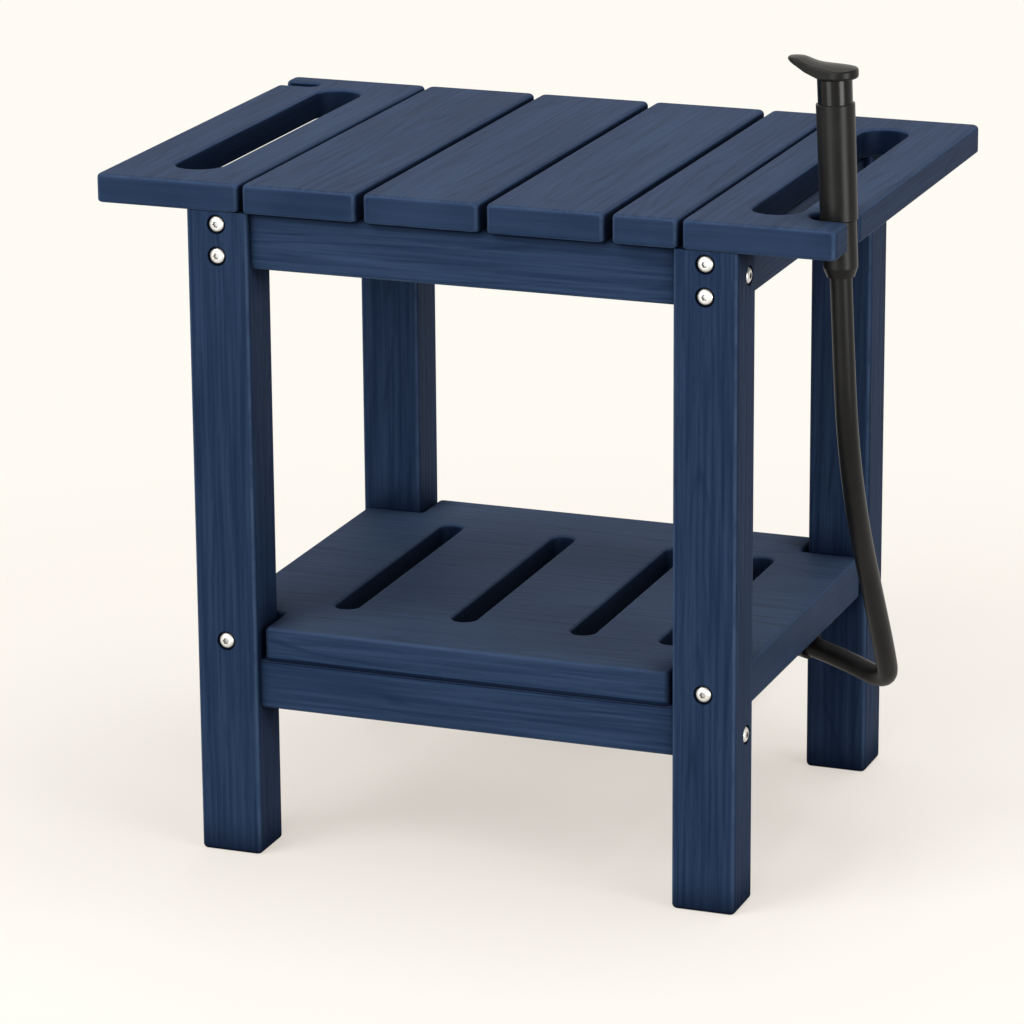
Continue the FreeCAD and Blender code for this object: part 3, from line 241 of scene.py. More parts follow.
class Patterns:
    """The shared effects: board grain, painted highlights on rounded edges, dust and painted sheen, painted
    shade on slot walls, moulded skin and metal wear.

    A pair that a step takes says where an effect starts and where it is full. A pair that a span takes is
    the two ends of a range.
    """

    # Board grain
    CUT_END: Pair = (0.55, 0.90)
    SAW: Layer = Layer((9.0, 9.0, 340.0), 3.0, 0.6)
    SAW_SHARE: Pair = (0.32, 0.68)
    FIGURE: Layer = Layer((24.0, 24.0, 1.9), 1.0, 0.4, 0.2)
    FIGURE_LINES: float = 15.0
    LINE_PEAK: float = 0.5
    LINE_WIDTH: float = 0.22
    GAPS: Layer = Layer((90.0, 90.0, 14.0), 2.0)
    GAP_STEP: Pair = (0.40, 0.62)
    FIBRE: Layer = Layer((330.0, 330.0, 7.5), 4.0, 0.6)
    PORES: Layer = Layer((760.0, 760.0, 62.0), 1.0)
    PORE_STEP: Pair = (0.69, 0.79)
    TONE: Layer = Layer((16.0, 16.0, 3.5), 3.0)
    LINE_DEPTH: float = 0.62
    PORE_DEPTH: float = 0.4
    FIBRE_RISE: float = 0.6

    # Painted highlight on rounded edges
    EDGE_TURN: Pair = (0.03, 0.24)
    UPPER_SIDE: Pair = (0.1, 0.6)
    UPPER_EDGE_SHARE: Pair = (1.0, 0.45)
    EDGE_HIGHLIGHT_PATCH: Layer = Layer.even(60.0, 4.0, 0.6)
    EDGE_HIGHLIGHT_STEP: Pair = (0.3, 0.62)
    EDGE_HIGHLIGHT_SHARE: Pair = (0.5, 1.0)

    # Settled dust and a painted sheen on upward faces
    LEVEL_FACE: Pair = (0.55, 0.95)
    DUST_AND_SHEEN: Layer = Layer.even(26.0, 4.0, 0.6)
    DUST_AND_SHEEN_STEP: Pair = (0.30, 0.72)
    DUST_AND_SHEEN_SHARE: Pair = (0.65, 1.0)
    SPECKS: Layer = Layer.even(900.0, 2.0)
    SPECK_SHARE: Pair = (0.4, 1.0)

    # Painted shade on slot walls and seams
    WALL_LEAN: Pair = (0.35, 0.85)

    # Moulded skin
    FINE_SKIN: Layer = Layer.even(1500.0, 2.0, 0.6)
    FINE_SHARE: float = 0.65
    COARSE_SKIN: Layer = Layer.even(420.0, 2.0)
    COARSE_SHARE: float = 0.35
    SKIN_PATCH: Layer = Layer.even(38.0, 4.0, 0.6)

    # Tarnish
    FILM: Layer = Layer.even(140.0, 5.0, 0.65)
    FILM_STEP: Pair = (0.35, 0.75)
    SCRATCHES: Layer = Layer((2600.0, 300.0, 2600.0), 3.0, 0.6, turn=(0.4, 0.2, 0.7))

    def __init__(self) -> None:
        """Build each group once."""
        self.grain = self._board_grain()
        self.edge_highlight = self._painted_edge_highlight()
        self.dust_and_sheen = self._settled_dust_and_sheen()
        self.wall_shade = self._slot_wall_shade()
        self.skin = self._moulded_skin()
        self.tarnish = self._tarnish()

    @staticmethod
    def _close(graph: Graph, end: bpy.types.Node, **values: Socket) -> bpy.types.NodeTree:
        """Link the finished values to a group's outputs.

        Args:
            graph: The group's graph.
            end: Its output node.
            **values: What to link, by the output's name in lower case.

        Returns:
            The group.
        """
        for name, value in values.items():
            graph.tree.links.new(value, end.inputs[name.capitalize()])
        return graph.tree

    def _board_grain(self) -> bpy.types.NodeTree:
        """Embossed wood figure along the pattern's Z, and level saw lines on the ends it is cut at.

        Returns:
            The group.
        """
        graph, given, end = new_pattern("board grain", ("Vector", "Normal", "Place"),
                                        ("Line", "Fibre", "Tone", "Height"))
        place = given["Vector"]
        cut = graph.step(graph.math("ABSOLUTE", graph.axes(given["Normal"])[2]), *self.CUT_END)
        plain = graph.rest(cut)
        saw = graph.span(graph.noise(given["Place"], self.SAW), *self.SAW_SHARE)
        ridge = graph.times(graph.noise(place, self.FIGURE), self.FIGURE_LINES)
        line = graph.rest(graph.step(graph.math("PINGPONG", ridge, self.LINE_PEAK), 0.0, self.LINE_WIDTH))
        broken = graph.step(graph.noise(place, self.GAPS), *self.GAP_STEP)
        line = graph.times(line, broken, plain)
        fibre = graph.blend(cut, graph.noise(place, self.FIBRE), saw)
        pore = graph.times(graph.step(graph.noise(place, self.PORES), *self.PORE_STEP), plain)
        hollow = graph.math("ADD", graph.times(line, self.LINE_DEPTH), graph.times(pore, self.PORE_DEPTH))
        height = graph.math("SUBTRACT", graph.times(fibre, self.FIBRE_RISE), hollow)
        return self._close(graph, end, line=graph.math("MAXIMUM", line, pore), fibre=fibre,
                           tone=graph.noise(place, self.TONE), height=height)

    def _painted_edge_highlight(self) -> bpy.types.NodeTree:
        """Paint a highlight on the rounded edges, found from the surface's own direction, less on edges that
        face up and broken up in patches.

        Returns:
            The group.
        """
        graph, given, end = new_pattern("painted edge highlight", ("Normal", "Vector"), ("Mask",))
        across, deep, high = graph.axes(graph.size(given["Normal"]))
        flat = graph.math("MAXIMUM", graph.math("MAXIMUM", across, deep), high)
        edge = graph.step(graph.rest(flat), *self.EDGE_TURN)
        upper = graph.step(graph.axes(given["Normal"])[2], *self.UPPER_SIDE)
        patch = graph.step(graph.noise(given["Vector"], self.EDGE_HIGHLIGHT_PATCH), *self.EDGE_HIGHLIGHT_STEP)
        kept = graph.times(graph.span(upper, *self.UPPER_EDGE_SHARE), graph.span(patch, *self.EDGE_HIGHLIGHT_SHARE))
        return self._close(graph, end, mask=graph.times(edge, kept))

    def _settled_dust_and_sheen(self) -> bpy.types.NodeTree:
        """Find upward faces, in soft patches with fine specks: settled dust and a painted sheen.

        Returns:
            The group.
        """
        graph, given, end = new_pattern("settled dust and sheen", ("Normal", "Vector"), ("Mask",))
        level = graph.step(graph.axes(given["Normal"])[2], *self.LEVEL_FACE)
        patch = graph.step(graph.noise(given["Vector"], self.DUST_AND_SHEEN), *self.DUST_AND_SHEEN_STEP)
        speck = graph.span(graph.noise(given["Vector"], self.SPECKS), *self.SPECK_SHARE)
        return self._close(graph, end, mask=graph.times(level, graph.span(patch, *self.DUST_AND_SHEEN_SHARE), speck))

    def _slot_wall_shade(self) -> bpy.types.NodeTree:
        """Find the upright walls between two corners, which are taken on both sides of the middle, for
        painted shade.

        Returns:
            The group.
        """
        graph, given, end = new_pattern("slot wall painted shade", ("Normal", "Vector", "Low", "High"), ("Mask",))
        lean = graph.math("ABSOLUTE", graph.axes(given["Normal"])[2])
        mask = graph.rest(graph.step(lean, *self.WALL_LEAN))
        corners = (graph.size(given["Vector"]), given["Low"], given["High"])
        for place, low, high in zip(*(graph.axes(corner) for corner in corners)):
            mask = graph.times(mask, graph.math("GREATER_THAN", place, low),
                               graph.math("LESS_THAN", place, high))
        return self._close(graph, end, mask=mask)

    def _moulded_skin(self) -> bpy.types.NodeTree:
        """The fine spark-eroded skin of a moulding, with a slow patchiness.

        Returns:
            The group.
        """
        graph, given, end = new_pattern("moulded skin", ("Vector",), ("Patch", "Height"))
        fine = graph.times(graph.noise(given["Vector"], self.FINE_SKIN), self.FINE_SHARE)
        coarse = graph.times(graph.noise(given["Vector"], self.COARSE_SKIN), self.COARSE_SHARE)
        return self._close(graph, end, patch=graph.noise(given["Vector"], self.SKIN_PATCH),
                           height=graph.math("ADD", fine, coarse))

    def _tarnish(self) -> bpy.types.NodeTree:
        """Dull spots, hairline scratches and a slow film on bare metal.

        Returns:
            The group.
        """
        graph, given, end = new_pattern("tarnish", ("Vector",), ("Film", "Scratch"))
        film = graph.step(graph.noise(given["Vector"], self.FILM), *self.FILM_STEP)
        return self._close(graph, end, film=film, scratch=graph.noise(given["Vector"], self.SCRATCHES))


class Finish:
    """A material in the making: its graph, its shader and the coordinates it reads."""

    def __init__(self, name: str) -> None:
        """Make an empty node material with one Principled shader.

        Args:
            name: The material's name.
        """
        self.material = bpy.data.materials.new(name)
        self.material.use_nodes = True
        self.graph = Graph(self.material.node_tree)
        self.shader = self.material.node_tree.nodes["Principled BSDF"]
        where = self.graph.put("ShaderNodeTexCoord").outputs
        self.place, self.normal = where["Object"], where["Normal"]

    def feed(self, **links: Socket) -> None:
        """Link values to the shader's inputs, named with underscores."""
        for name, value in links.items():
            self.material.node_tree.links.new(value, self.shader.inputs[name.replace("_", " ")])

    def fix(self, **values: float) -> None:
        """Set plain values on the shader's inputs, named with underscores."""
        for name, value in values.items():
            self.shader.inputs[name.replace("_", " ")].default_value = value


@dataclass(frozen=True)
class BoardFinish:
    """Dyed-through plastic board with an embossed wood grain."""

    name: str
    way: GrainWay
    base: Colour = (0.0114, 0.0262, 0.0650)
    light: Colour = (0.0255, 0.0485, 0.1045)
    groove: Colour = (0.0066, 0.0160, 0.0440)
    # Painted highlight on the rounded edges, a lighter navy
    edge_highlight_colour: Colour = (0.0560, 0.0940, 0.1750)
    # Grey-blue on upward faces: settled dust and a painted sheen
    dust_and_sheen_tint: Colour = (0.1050, 0.1140, 0.1320)
    # Painted shade: a near-black navy for corners, recesses and the listed walls
    painted_shade: Colour = (0.0020, 0.0060, 0.0190)
    tone_share: float = 0.3
    streaks: Pair = (0.36, 0.64)
    groove_share: float = 0.42
    # Share of the painted edge highlight
    edge_highlight_share: float = 0.90
    # Share of the dust and painted sheen
    dust_and_sheen_share: float = 0.17
    # Share of the painted shade, how far it feels for nearby faces, and how open the air must be to escape
    # it
    painted_shade_share: float = 0.92
    painted_shade_reach: float = 0.030
    painted_shade_air: Pair = (0.40, 1.00)
    # Painted shade on the upright walls inside the listed boxes, and its share
    wall_shade_share: float = 0.80
    shaded_walls: tuple[Region, ...] = ()
    rough: Pair = (0.48, 0.68)
    dust_roughness: float = 0.12
    # Roughness where shade is painted
    painted_shade_roughness: float = 1.0
    relief: float = 0.00060
    relief_share: float = 0.6
    specular: float = 0.05

    def make(self, patterns: Patterns) -> bpy.types.Material:
        """Write the material.

        Args:
            patterns: The shared effects.

        Returns:
            The finished material.
        """
        finish = Finish(self.name)
        graph = finish.graph
        along = graph.stretch(finish.place, (1.0, 1.0, 1.0), self.way.value)
        facing = graph.stretch(finish.normal, (1.0, 1.0, 1.0), self.way.value)
        grain = graph.pattern(patterns.grain, vector=along, normal=facing, place=finish.place)
        edge_highlight = graph.pattern(patterns.edge_highlight, normal=finish.normal, vector=finish.place)[0]
        dust_and_sheen = graph.pattern(patterns.dust_and_sheen, normal=finish.normal, vector=finish.place)[0]
        streak = graph.blend(self.tone_share, grain["Fibre"], grain["Tone"])
        colour = graph.mix(graph.step(streak, *self.streaks), self.base, self.light)
        colour = graph.mix(graph.times(grain["Line"], self.groove_share), colour, self.groove)
        # Painted highlight along the rounded edges
        colour = graph.mix(graph.times(edge_highlight, self.edge_highlight_share), colour, self.edge_highlight_colour)
        # Upward faces lighter and greyer: settled dust and a painted sheen
        colour = graph.mix(graph.times(dust_and_sheen, self.dust_and_sheen_share), colour, self.dust_and_sheen_tint)
        # Painted shade in corners, recesses and contact lines, darker where other faces close in the air
        # within the reach
        painted_shade_mask = graph.rest(graph.step(graph.openness(self.painted_shade_reach), *self.painted_shade_air))
        painted_shade_mask = graph.times(painted_shade_mask, self.painted_shade_share)
        # Painted shade on the upright walls inside each listed box
        for low, high in self.shaded_walls:
            wall_shade = graph.pattern(patterns.wall_shade, normal=finish.normal, vector=finish.place,
                                 low=low, high=high)[0]
            painted_shade_mask = graph.math("MAXIMUM", painted_shade_mask, graph.times(wall_shade, self.wall_shade_share))
        colour = graph.mix(painted_shade_mask, colour, self.painted_shade)
        rough = graph.span(grain["Fibre"], *self.rough)
        rough = graph.math("ADD", rough, graph.times(dust_and_sheen, self.dust_roughness))
        # Full roughness where shade is painted
        rough = graph.blend(painted_shade_mask, rough, self.painted_shade_roughness)
        finish.feed(Base_Color=colour, Roughness=rough,
                    Normal=graph.bump(grain["Height"], self.relief_share, self.relief))
        finish.fix(Specular_IOR_Level=self.specular)
        return finish.material


@dataclass(frozen=True)
class MouldedFinish:
    """Moulded plastic or rubber with a fine skin."""

    name: str
    base: Colour
    worn: Colour
    rough: Pair
    specular: float
    worn_patch: Pair = (0.35, 0.7)
    relief: float = 0.00003
    relief_share: float = 0.5
    # Upward faces lighter and greyer: settled dust and a painted sheen
    dust_and_sheen_share: float = 0.12
    dust_and_sheen_tint: Colour = (0.16, 0.155, 0.145)

    def make(self, patterns: Patterns) -> bpy.types.Material:
        """Write the material.

        Args:
            patterns: The shared effects.

        Returns:
            The finished material.
        """
        finish = Finish(self.name)
        graph = finish.graph
        skin = graph.pattern(patterns.skin, vector=finish.place)
        dust_and_sheen = graph.pattern(patterns.dust_and_sheen, normal=finish.normal, vector=finish.place)[0]
        colour = graph.mix(graph.step(skin["Patch"], *self.worn_patch), self.base, self.worn)
        # Settled dust and a painted sheen on upward faces
        colour = graph.mix(graph.times(dust_and_sheen, self.dust_and_sheen_share), colour, self.dust_and_sheen_tint)
        finish.feed(Base_Color=colour, Roughness=graph.span(skin["Patch"], *self.rough),
                    Normal=graph.bump(skin["Height"], self.relief_share, self.relief))
        finish.fix(Specular_IOR_Level=self.specular)
        return finish.material


@dataclass(frozen=True)
class MetalFinish:
    """Bare or plated metal with a film and hairline scratches, and painted shade in its hollows."""

    name: str
    base: Colour
    film: Colour
    rough: Pair
    # Painted shade in the hollows, such as the bolts' sockets
    hollow: Colour = (0.26, 0.26, 0.25)
    hollow_shade_reach: float = 0.005
    hollow_shade_air: Pair = (0.25, 0.85)
    relief: float = 0.00002
    relief_share: float = 0.35

    def make(self, patterns: Patterns) -> bpy.types.Material:
        """Write the material.

        Args:
            patterns: The shared effects.

        Returns:
            The finished material.
        """
        finish = Finish(self.name)
        graph = finish.graph
        wear = graph.pattern(patterns.tarnish, vector=finish.place)
        colour = graph.mix(wear["Film"], self.base, self.film)
        # Painted shade where other faces close in the air within a few millimetres
        air = graph.step(graph.openness(self.hollow_shade_reach), *self.hollow_shade_air)
        colour = graph.mix(air, self.hollow, colour)
        mean_wear = graph.times(graph.math("ADD", wear["Film"], wear["Scratch"]), 0.5)
        finish.feed(Base_Color=colour, Roughness=graph.span(mean_wear, *self.rough),
                    Normal=graph.bump(wear["Scratch"], self.relief_share, self.relief))
        finish.fix(Metallic=1.0)
        return finish.material


def dress(material: bpy.types.Material, *nodes: str) -> None:
    """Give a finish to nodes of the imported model.

    Args:
        material: The finish.
        *nodes: Node names.
    """
    for node in nodes:
        piece = bpy.data.objects[node]
        if not piece.material_slots:
            piece.data.materials.append(material)
        for slot in piece.material_slots:
            slot.material = material
        log.info("%s wears %s", node, material.name)


def start_alone() -> None:
    """Deselect everything, so that an operator acts only on what comes next."""
    if bpy.context.mode != "OBJECT":
        bpy.ops.object.mode_set(mode="OBJECT")
    bpy.ops.object.select_all(action="DESELECT")


def choose(piece: bpy.types.Object, kind: str, test: Callable[[Vector, Vector], bool]) -> None:
    """Select the faces or edges of a mesh in edit mode that pass a test.

    Args:
        piece: The mesh object, which is in edit mode.
        kind: FACE or EDGE.
        test: Says yes to a middle point and a direction: a face's normal, or the way an edge runs.
    """
    bpy.ops.mesh.select_mode(type=kind)
    bpy.ops.mesh.select_all(action="DESELECT")
    bpy.ops.object.mode_set(mode="OBJECT")
    mesh = piece.data
    if kind == "FACE":
        for face in mesh.polygons:
            face.select = test(face.center, face.normal)
    else:
        for edge in mesh.edges:
            first, second = (mesh.vertices[corner].co for corner in edge.vertices)
            edge.select = test((first + second) / 2, (second - first).normalized())
    bpy.ops.object.mode_set(mode="EDIT")


@dataclass
class Boards:
    """The frame, shelf and top, all cut from one grained plastic board."""

    upright: tuple[str, ...] = ("leg_front_left", "leg_front_right", "leg_back_left", "leg_back_right")
    lengthwise: tuple[str, ...] = ("upper_rail_front", "upper_rail_back",
                                   "lower_rail_front", "lower_rail_back")
    crosswise: tuple[str, ...] = ("upper_rail_left", "upper_rail_right", "end_board_left", "end_board_right",
                                  "top_slat_1", "top_slat_2", "top_slat_3", "top_slat_narrow")
    sheltered: tuple[str, ...] = ("shelf",)
    upright_gloss: float = 0.035
    rail_gloss: float = 0.045
    handled_gloss: float = 0.042
    sheltered_gloss: float = 0.050
    # Painted light: a lighter copy of the navy board for the rails and shelf, which sit under the top
    lit_copy_base: Colour = (0.0145, 0.0318, 0.0760)
    lit_copy_light_tone: Colour = (0.0300, 0.0570, 0.1205)
    # A paler, bluer dust and painted sheen, laid more thickly, that lightens the shelf's top
    pale_dust_and_sheen: Colour = (0.105, 0.140, 0.205)
    sheltered_dust_and_sheen: float = 0.34
    # Boxes, taken on both sides of the middle, where shade is painted on the upright walls: the end boards'
    # handle slots and notches, the shelf's drain slots, and the seam between the shelf and its long rails
    handle_slot: Region = ((0.172, 0.0, 0.4385), (0.246, 0.1485, 1.0))
    drain_slots: Region = ((0.0, 0.0, 0.0), (0.172, 0.122, 1.0))
    shelf_seam: Region = ((0.0, 0.150, 0.1338), (0.200, 0.170, 0.1379))

    def dress(self, patterns: Patterns) -> None:
        """Give each board the grain that runs along it, the rails and shelf a lighter copy as painted light,
        and the shelf more dust and painted sheen.

        Args:
            patterns: The shared effects.
        """
        legs = BoardFinish("navy board upright", GrainWay.UPRIGHT, specular=self.upright_gloss)
        rails = BoardFinish("navy board lengthwise", GrainWay.LENGTHWISE, specular=self.rail_gloss,
                            base=self.lit_copy_base, light=self.lit_copy_light_tone, shaded_walls=(self.shelf_seam,))
        top = BoardFinish("navy board crosswise", GrainWay.CROSSWISE, specular=self.handled_gloss,
                          shaded_walls=(self.handle_slot,))
        shelf = BoardFinish("navy board sheltered", GrainWay.LENGTHWISE, specular=self.sheltered_gloss,
                            base=self.lit_copy_base, light=self.lit_copy_light_tone,
                            dust_and_sheen_tint=self.pale_dust_and_sheen, dust_and_sheen_share=self.sheltered_dust_and_sheen,
                            shaded_walls=(self.drain_slots, self.shelf_seam))
        for finish, boards in ((legs, self.upright), (rails, self.lengthwise), (top, self.crosswise),
                               (shelf, self.sheltered)):
            dress(finish.make(patterns), *boards)


@dataclass
class Fasteners:
    """The bolts with their nuts, and the hidden screws."""

    bolts: tuple[str, ...] = ("upper_cross_bolts", "shelf_cross_bolts",
                              "upper_long_bolts", "lower_long_bolts")
    nuts: tuple[str, ...] = ("upper_cross_nuts", "shelf_cross_nuts", "upper_long_nuts", "lower_long_nuts")
    screws: tuple[str, ...] = ("slat_screws", "end_board_screws", "shelf_screws", "hose_clip_screws")
    bright: MetalFinish = MetalFinish("stainless bolt", base=(0.72, 0.71, 0.69), film=(0.62, 0.61, 0.59),
                                      rough=(0.36, 0.52))
    zinc: MetalFinish = MetalFinish("zinc plate", base=(0.52, 0.52, 0.50), film=(0.36, 0.36, 0.35),
                                    rough=(0.34, 0.58))

    def dress(self, patterns: Patterns) -> None:
        """Bright stainless for the bolts, duller zinc for what is hidden."""
        dress(self.bright.make(patterns), *self.bolts)
        dress(self.zinc.make(patterns), *self.nuts, *self.screws)


@dataclass
class Sprayer:
    """The hand sprayer that stands in the end board's notch, its swivel, and the hose's clip and washer."""

    mouldings: tuple[str, ...] = ("sprayer_barrel", "sprayer_head", "hose_sleeve", "hose_clip")
    seals: tuple[str, ...] = ("swivel_seal", "hose_end_washer")
    satin: MouldedFinish = MouldedFinish("satin black", base=(0.0062, 0.0062, 0.0060),
                                         worn=(0.0100, 0.0099, 0.0095), rough=(0.30, 0.40), specular=0.15)
    gloss: MouldedFinish = MouldedFinish("gloss black", base=(0.0030, 0.0030, 0.0030),
                                         worn=(0.0045, 0.0045, 0.0044), rough=(0.18, 0.26), specular=0.20,
                                         relief=0.000008)
    rubber: MouldedFinish = MouldedFinish("nozzle rubber", base=(0.0150, 0.0150, 0.0150),
                                          worn=(0.0220, 0.0220, 0.0220), rough=(0.52, 0.72), specular=0.15)
    seal: MouldedFinish = MouldedFinish("seal rubber", base=(0.0180, 0.0180, 0.0180),
                                        worn=(0.0260, 0.0260, 0.0250), rough=(0.5, 0.7), specular=0.3)
    brass: MetalFinish = MetalFinish("stem brass", base=(0.70, 0.50, 0.22), film=(0.52, 0.36, 0.15),
                                     rough=(0.22, 0.45))

    def dress(self, patterns: Patterns) -> None:
        """Satin mouldings, a glossy neck, a rubber face, rubber seals and a brass stem.

        Args:
            patterns: The shared effects.
        """
        dress(self.satin.make(patterns), *self.mouldings)
        dress(self.gloss.make(patterns), "sprayer_neck")
        dress(self.rubber.make(patterns), "spray_face")
        dress(self.seal.make(patterns), *self.seals)
        dress(self.brass.make(patterns), "swivel_stem")


@dataclass
class Hose:
    """The water hose from the sprayer's sleeve to its coil behind the table, and the coil's tie."""

    diameter: float = 0.014
    length: float = 1.495
    mouth: Point = (0.24184, -0.1255, 0.41929)
    still: Point = (0.2395, -0.008, 0.138)
    lifted: Point = (0.2421, -0.1255, 0.412)
    drop: tuple[Point, ...] = (
        (0.24122, -0.1255, 0.43298), (0.24399, -0.1255, 0.37204), (0.2455, -0.119, 0.312),
        (0.2435, -0.088, 0.250), (0.2408, -0.044, 0.190), (0.2395, -0.008, 0.138),
        (0.236, 0.017, 0.1065), (0.200, 0.032, 0.1145), (0.160, 0.053, 0.117))
    tail: tuple[Point, ...] = (
        (0.120, 0.074, 0.1195), (0.082, 0.102, 0.099), (0.058, 0.131, 0.066), (0.0455, 0.158, 0.042),
        (0.044, 0.184, 0.0226), (0.044, 0.220, 0.00805), (0.044, 0.246, 0.00805))
    rest_height: float = 0.00805
    far_middle: Pair = (-0.030, 0.260)
    near_middle: Pair = (-0.0223, 0.212)
    turn_radii: tuple[float, float, float] = (0.074, 0.0817, 0.0894)
    corner: float = math.radians(22.5)
    half_turn: int = 8
    quarter_turn: int = 4
    end_lean: float = math.radians(1.45)
    end_point: Point = (-0.05798, 0.3494, 0.01102)
    line_steps: int = 14
    round_steps: int = 6
    black: MouldedFinish = MouldedFinish("hose black", base=(0.0065, 0.0065, 0.0063),
                                         worn=(0.0105, 0.0104, 0.0100), rough=(0.34, 0.44), specular=0.13,
                                         relief=0.00004, dust_and_sheen_share=0.15)
    chrome: MetalFinish = MetalFinish("nut chrome", base=(0.74, 0.75, 0.76), film=(0.60, 0.61, 0.62),
                                      rough=(0.08, 0.26))
    tie_angle: float = math.radians(15.0)
    tie_half_span: float = 0.01495
    tie_width: float = 0.008
    tie_wall: float = 0.0008
    tie_slack: float = 0.00025
    tie_end_share: float = 0.96
    tie_end_steps: int = 8
    tie_top_cuts: int = 2
    button_reach: float = 0.002
    button_height: float = 0.0011
    tie_edge: float = 0.00022
    tie_edge_steps: int = 2
    smooth_angle: float = math.radians(35.0)
    tolerance: float = 1e-5
    strap: MouldedFinish = MouldedFinish("tie rubber", base=(0.0260, 0.0260, 0.0260),
                                         worn=(0.0380, 0.0375, 0.0365), rough=(0.5, 0.72), specular=0.3)

    def _arc(self, middle: Pair, radius: float, first: int, count: int) -> list[Point]:
        """Corner points of a polygon round part of a turn, whose sides touch the turn.

        Args:
            middle: The turn's middle, X and Y.
            radius: The turn's radius.
            first: Number of the first corner, counted from +X.
            count: How many corners.

        Returns:
            The corners, at the height at which the hose rests.
        """
        reach = radius / math.cos(self.corner / 2)
        angles = [self.corner * (first + number + 0.5) for number in range(count)]
        return [(middle[0] + reach * math.cos(angle), middle[1] + reach * math.sin(angle), self.rest_height)
                for angle in angles]

    def route(self) -> list[Point]:
        """Lay the hose from the sleeve down, across, over the outer turn and round the coil.

        Returns:
            The control points of its middle line.
        """
        inner, middle, outer = self.turn_radii
        lane = self.far_middle[0] + outer
        slope = math.sin(self.end_lean)
        coil = self._arc(self.far_middle, inner, 0, self.half_turn)
        coil += self._arc(self.near_middle, middle, self.half_turn, self.half_turn)
        for x, y, z in self._arc(self.far_middle, outer, 0, self.quarter_turn):
            coil.append((x, y, z + max(lane - x, 0.0) * slope))
        return [*self.drop, *self.tail, *coil, self.end_point]

    def build_hose(self) -> tuple[bpy.types.Object, list[Vector]]:
        """Run one smooth spline along the route and make it a tube.

        Returns:
            The tube's mesh object, and points along its middle line.
        """
        curve = bpy.data.curves.new("hose line", "CURVE")
        curve.dimensions = "3D"
        curve.resolution_u = self.line_steps
        spline = curve.splines.new("NURBS")
        points = self.route()
        spline.points.add(len(points) - 1)
        for control, place in zip(spline.points, points):
            control.co = (*place, 1.0)
        spline.order_u = 3
        spline.use_endpoint_u = True
        runner = bpy.data.objects.new("hose runner", curve)
        bpy.context.collection.objects.link(runner)
        line = self._made_mesh(runner)
        path = [vertex.co.copy() for vertex in line.vertices]
        curve.bevel_depth = self.diameter / 2
        curve.bevel_resolution = self.round_steps
        curve.use_fill_caps = True
        hose = bpy.data.objects.new("water_hose", self._made_mesh(runner))
        bpy.context.collection.objects.link(hose)
        bpy.data.objects.remove(runner)
        bpy.data.meshes.remove(line)
        for face in hose.data.polygons:
            face.use_smooth = True
        log.info("water_hose runs %.3f m", sum((b - a).length for a, b in zip(path, path[1:])))
        return hose, path

    @staticmethod
    def _made_mesh(runner: bpy.types.Object) -> bpy.types.Mesh:
        """Read a curve object as a mesh.

        Args:
            runner: The curve object.

        Returns:
            A new mesh of what the curve makes.
        """
        view = bpy.context.evaluated_depsgraph_get()
        view.update()
        return bpy.data.meshes.new_from_object(runner.evaluated_get(view))

    def build_tie(self) -> bpy.types.Object:
        """Bend a flat rubber strap round two turns, with a button on its lap.

        Returns:
            The strap's object.
        """
        start_alone()
        bpy.ops.mesh.primitive_cube_add(size=1.0)
        tie = bpy.context.object
        tie.name = "coil_tie"
        height = self.diameter / 2 + self.tie_slack
        tie.scale = (2 * self.tie_half_span, self.tie_width, 2 * height)
        bpy.ops.object.transform_apply(location=False, rotation=False, scale=True)
        bpy.ops.object.mode_set(mode="EDIT")
        choose(tie, "FACE", lambda middle, normal: abs(normal.y) > SQUARE_ON)
        bpy.ops.mesh.delete(type="FACE")
        choose(tie, "EDGE", lambda middle, along: abs(along.y) > SQUARE_ON)
        bpy.ops.mesh.bevel(offset=height * self.tie_end_share, segments=self.tie_end_steps, affect="EDGES")
        choose(tie, "FACE", lambda middle, normal: normal.z > DEAD_LEVEL)
        bpy.ops.mesh.subdivide(number_cuts=self.tie_top_cuts)
        bpy.ops.object.mode_set(mode="OBJECT")
        self._apply(tie, "SOLIDIFY", thickness=self.tie_wall, offset=1.0)
        bpy.ops.object.mode_set(mode="EDIT")
        top = height + self.tie_wall - self.tolerance
        choose(tie, "FACE", lambda middle, normal: (normal.z > SQUARE_ON and middle.z > top
                                                    and middle.xy.length < self.button_reach))
        bpy.ops.mesh.extrude_region_move(TRANSFORM_OT_translate={"value": (0.0, 0.0, self.button_height)})
        bpy.ops.mesh.select_all(action="SELECT")
        bpy.ops.mesh.normals_make_consistent(inside=False)
        bpy.ops.object.mode_set(mode="OBJECT")
        self._apply(tie, "BEVEL", width=self.tie_edge, segments=self.tie_edge_steps, limit_method="ANGLE")
        bpy.ops.object.shade_smooth_by_angle(angle=self.smooth_angle)
        reach = self.turn_radii[1]
        tie.rotation_euler = (0.0, 0.0, self.tie_angle)
        tie.location = (self.far_middle[0] + reach * math.cos(self.tie_angle),
                        self.far_middle[1] + reach * math.sin(self.tie_angle), self.rest_height)
        bpy.ops.object.transform_apply(location=True, rotation=True, scale=True)
        return tie

    @staticmethod
    def _apply(piece: bpy.types.Object, kind: str, **settings: object) -> None:
        """Add a modifier with its settings and apply it.

        Args:
            piece: The mesh object.
            kind: The modifier's Blender type.
            **settings: Attributes of the modifier.
        """
        modifier = piece.modifiers.new(kind.lower(), kind)
        for name, value in settings.items():
            setattr(modifier, name, value)
        bpy.context.view_layer.objects.active = piece
        bpy.ops.object.modifier_apply(modifier=modifier.name)

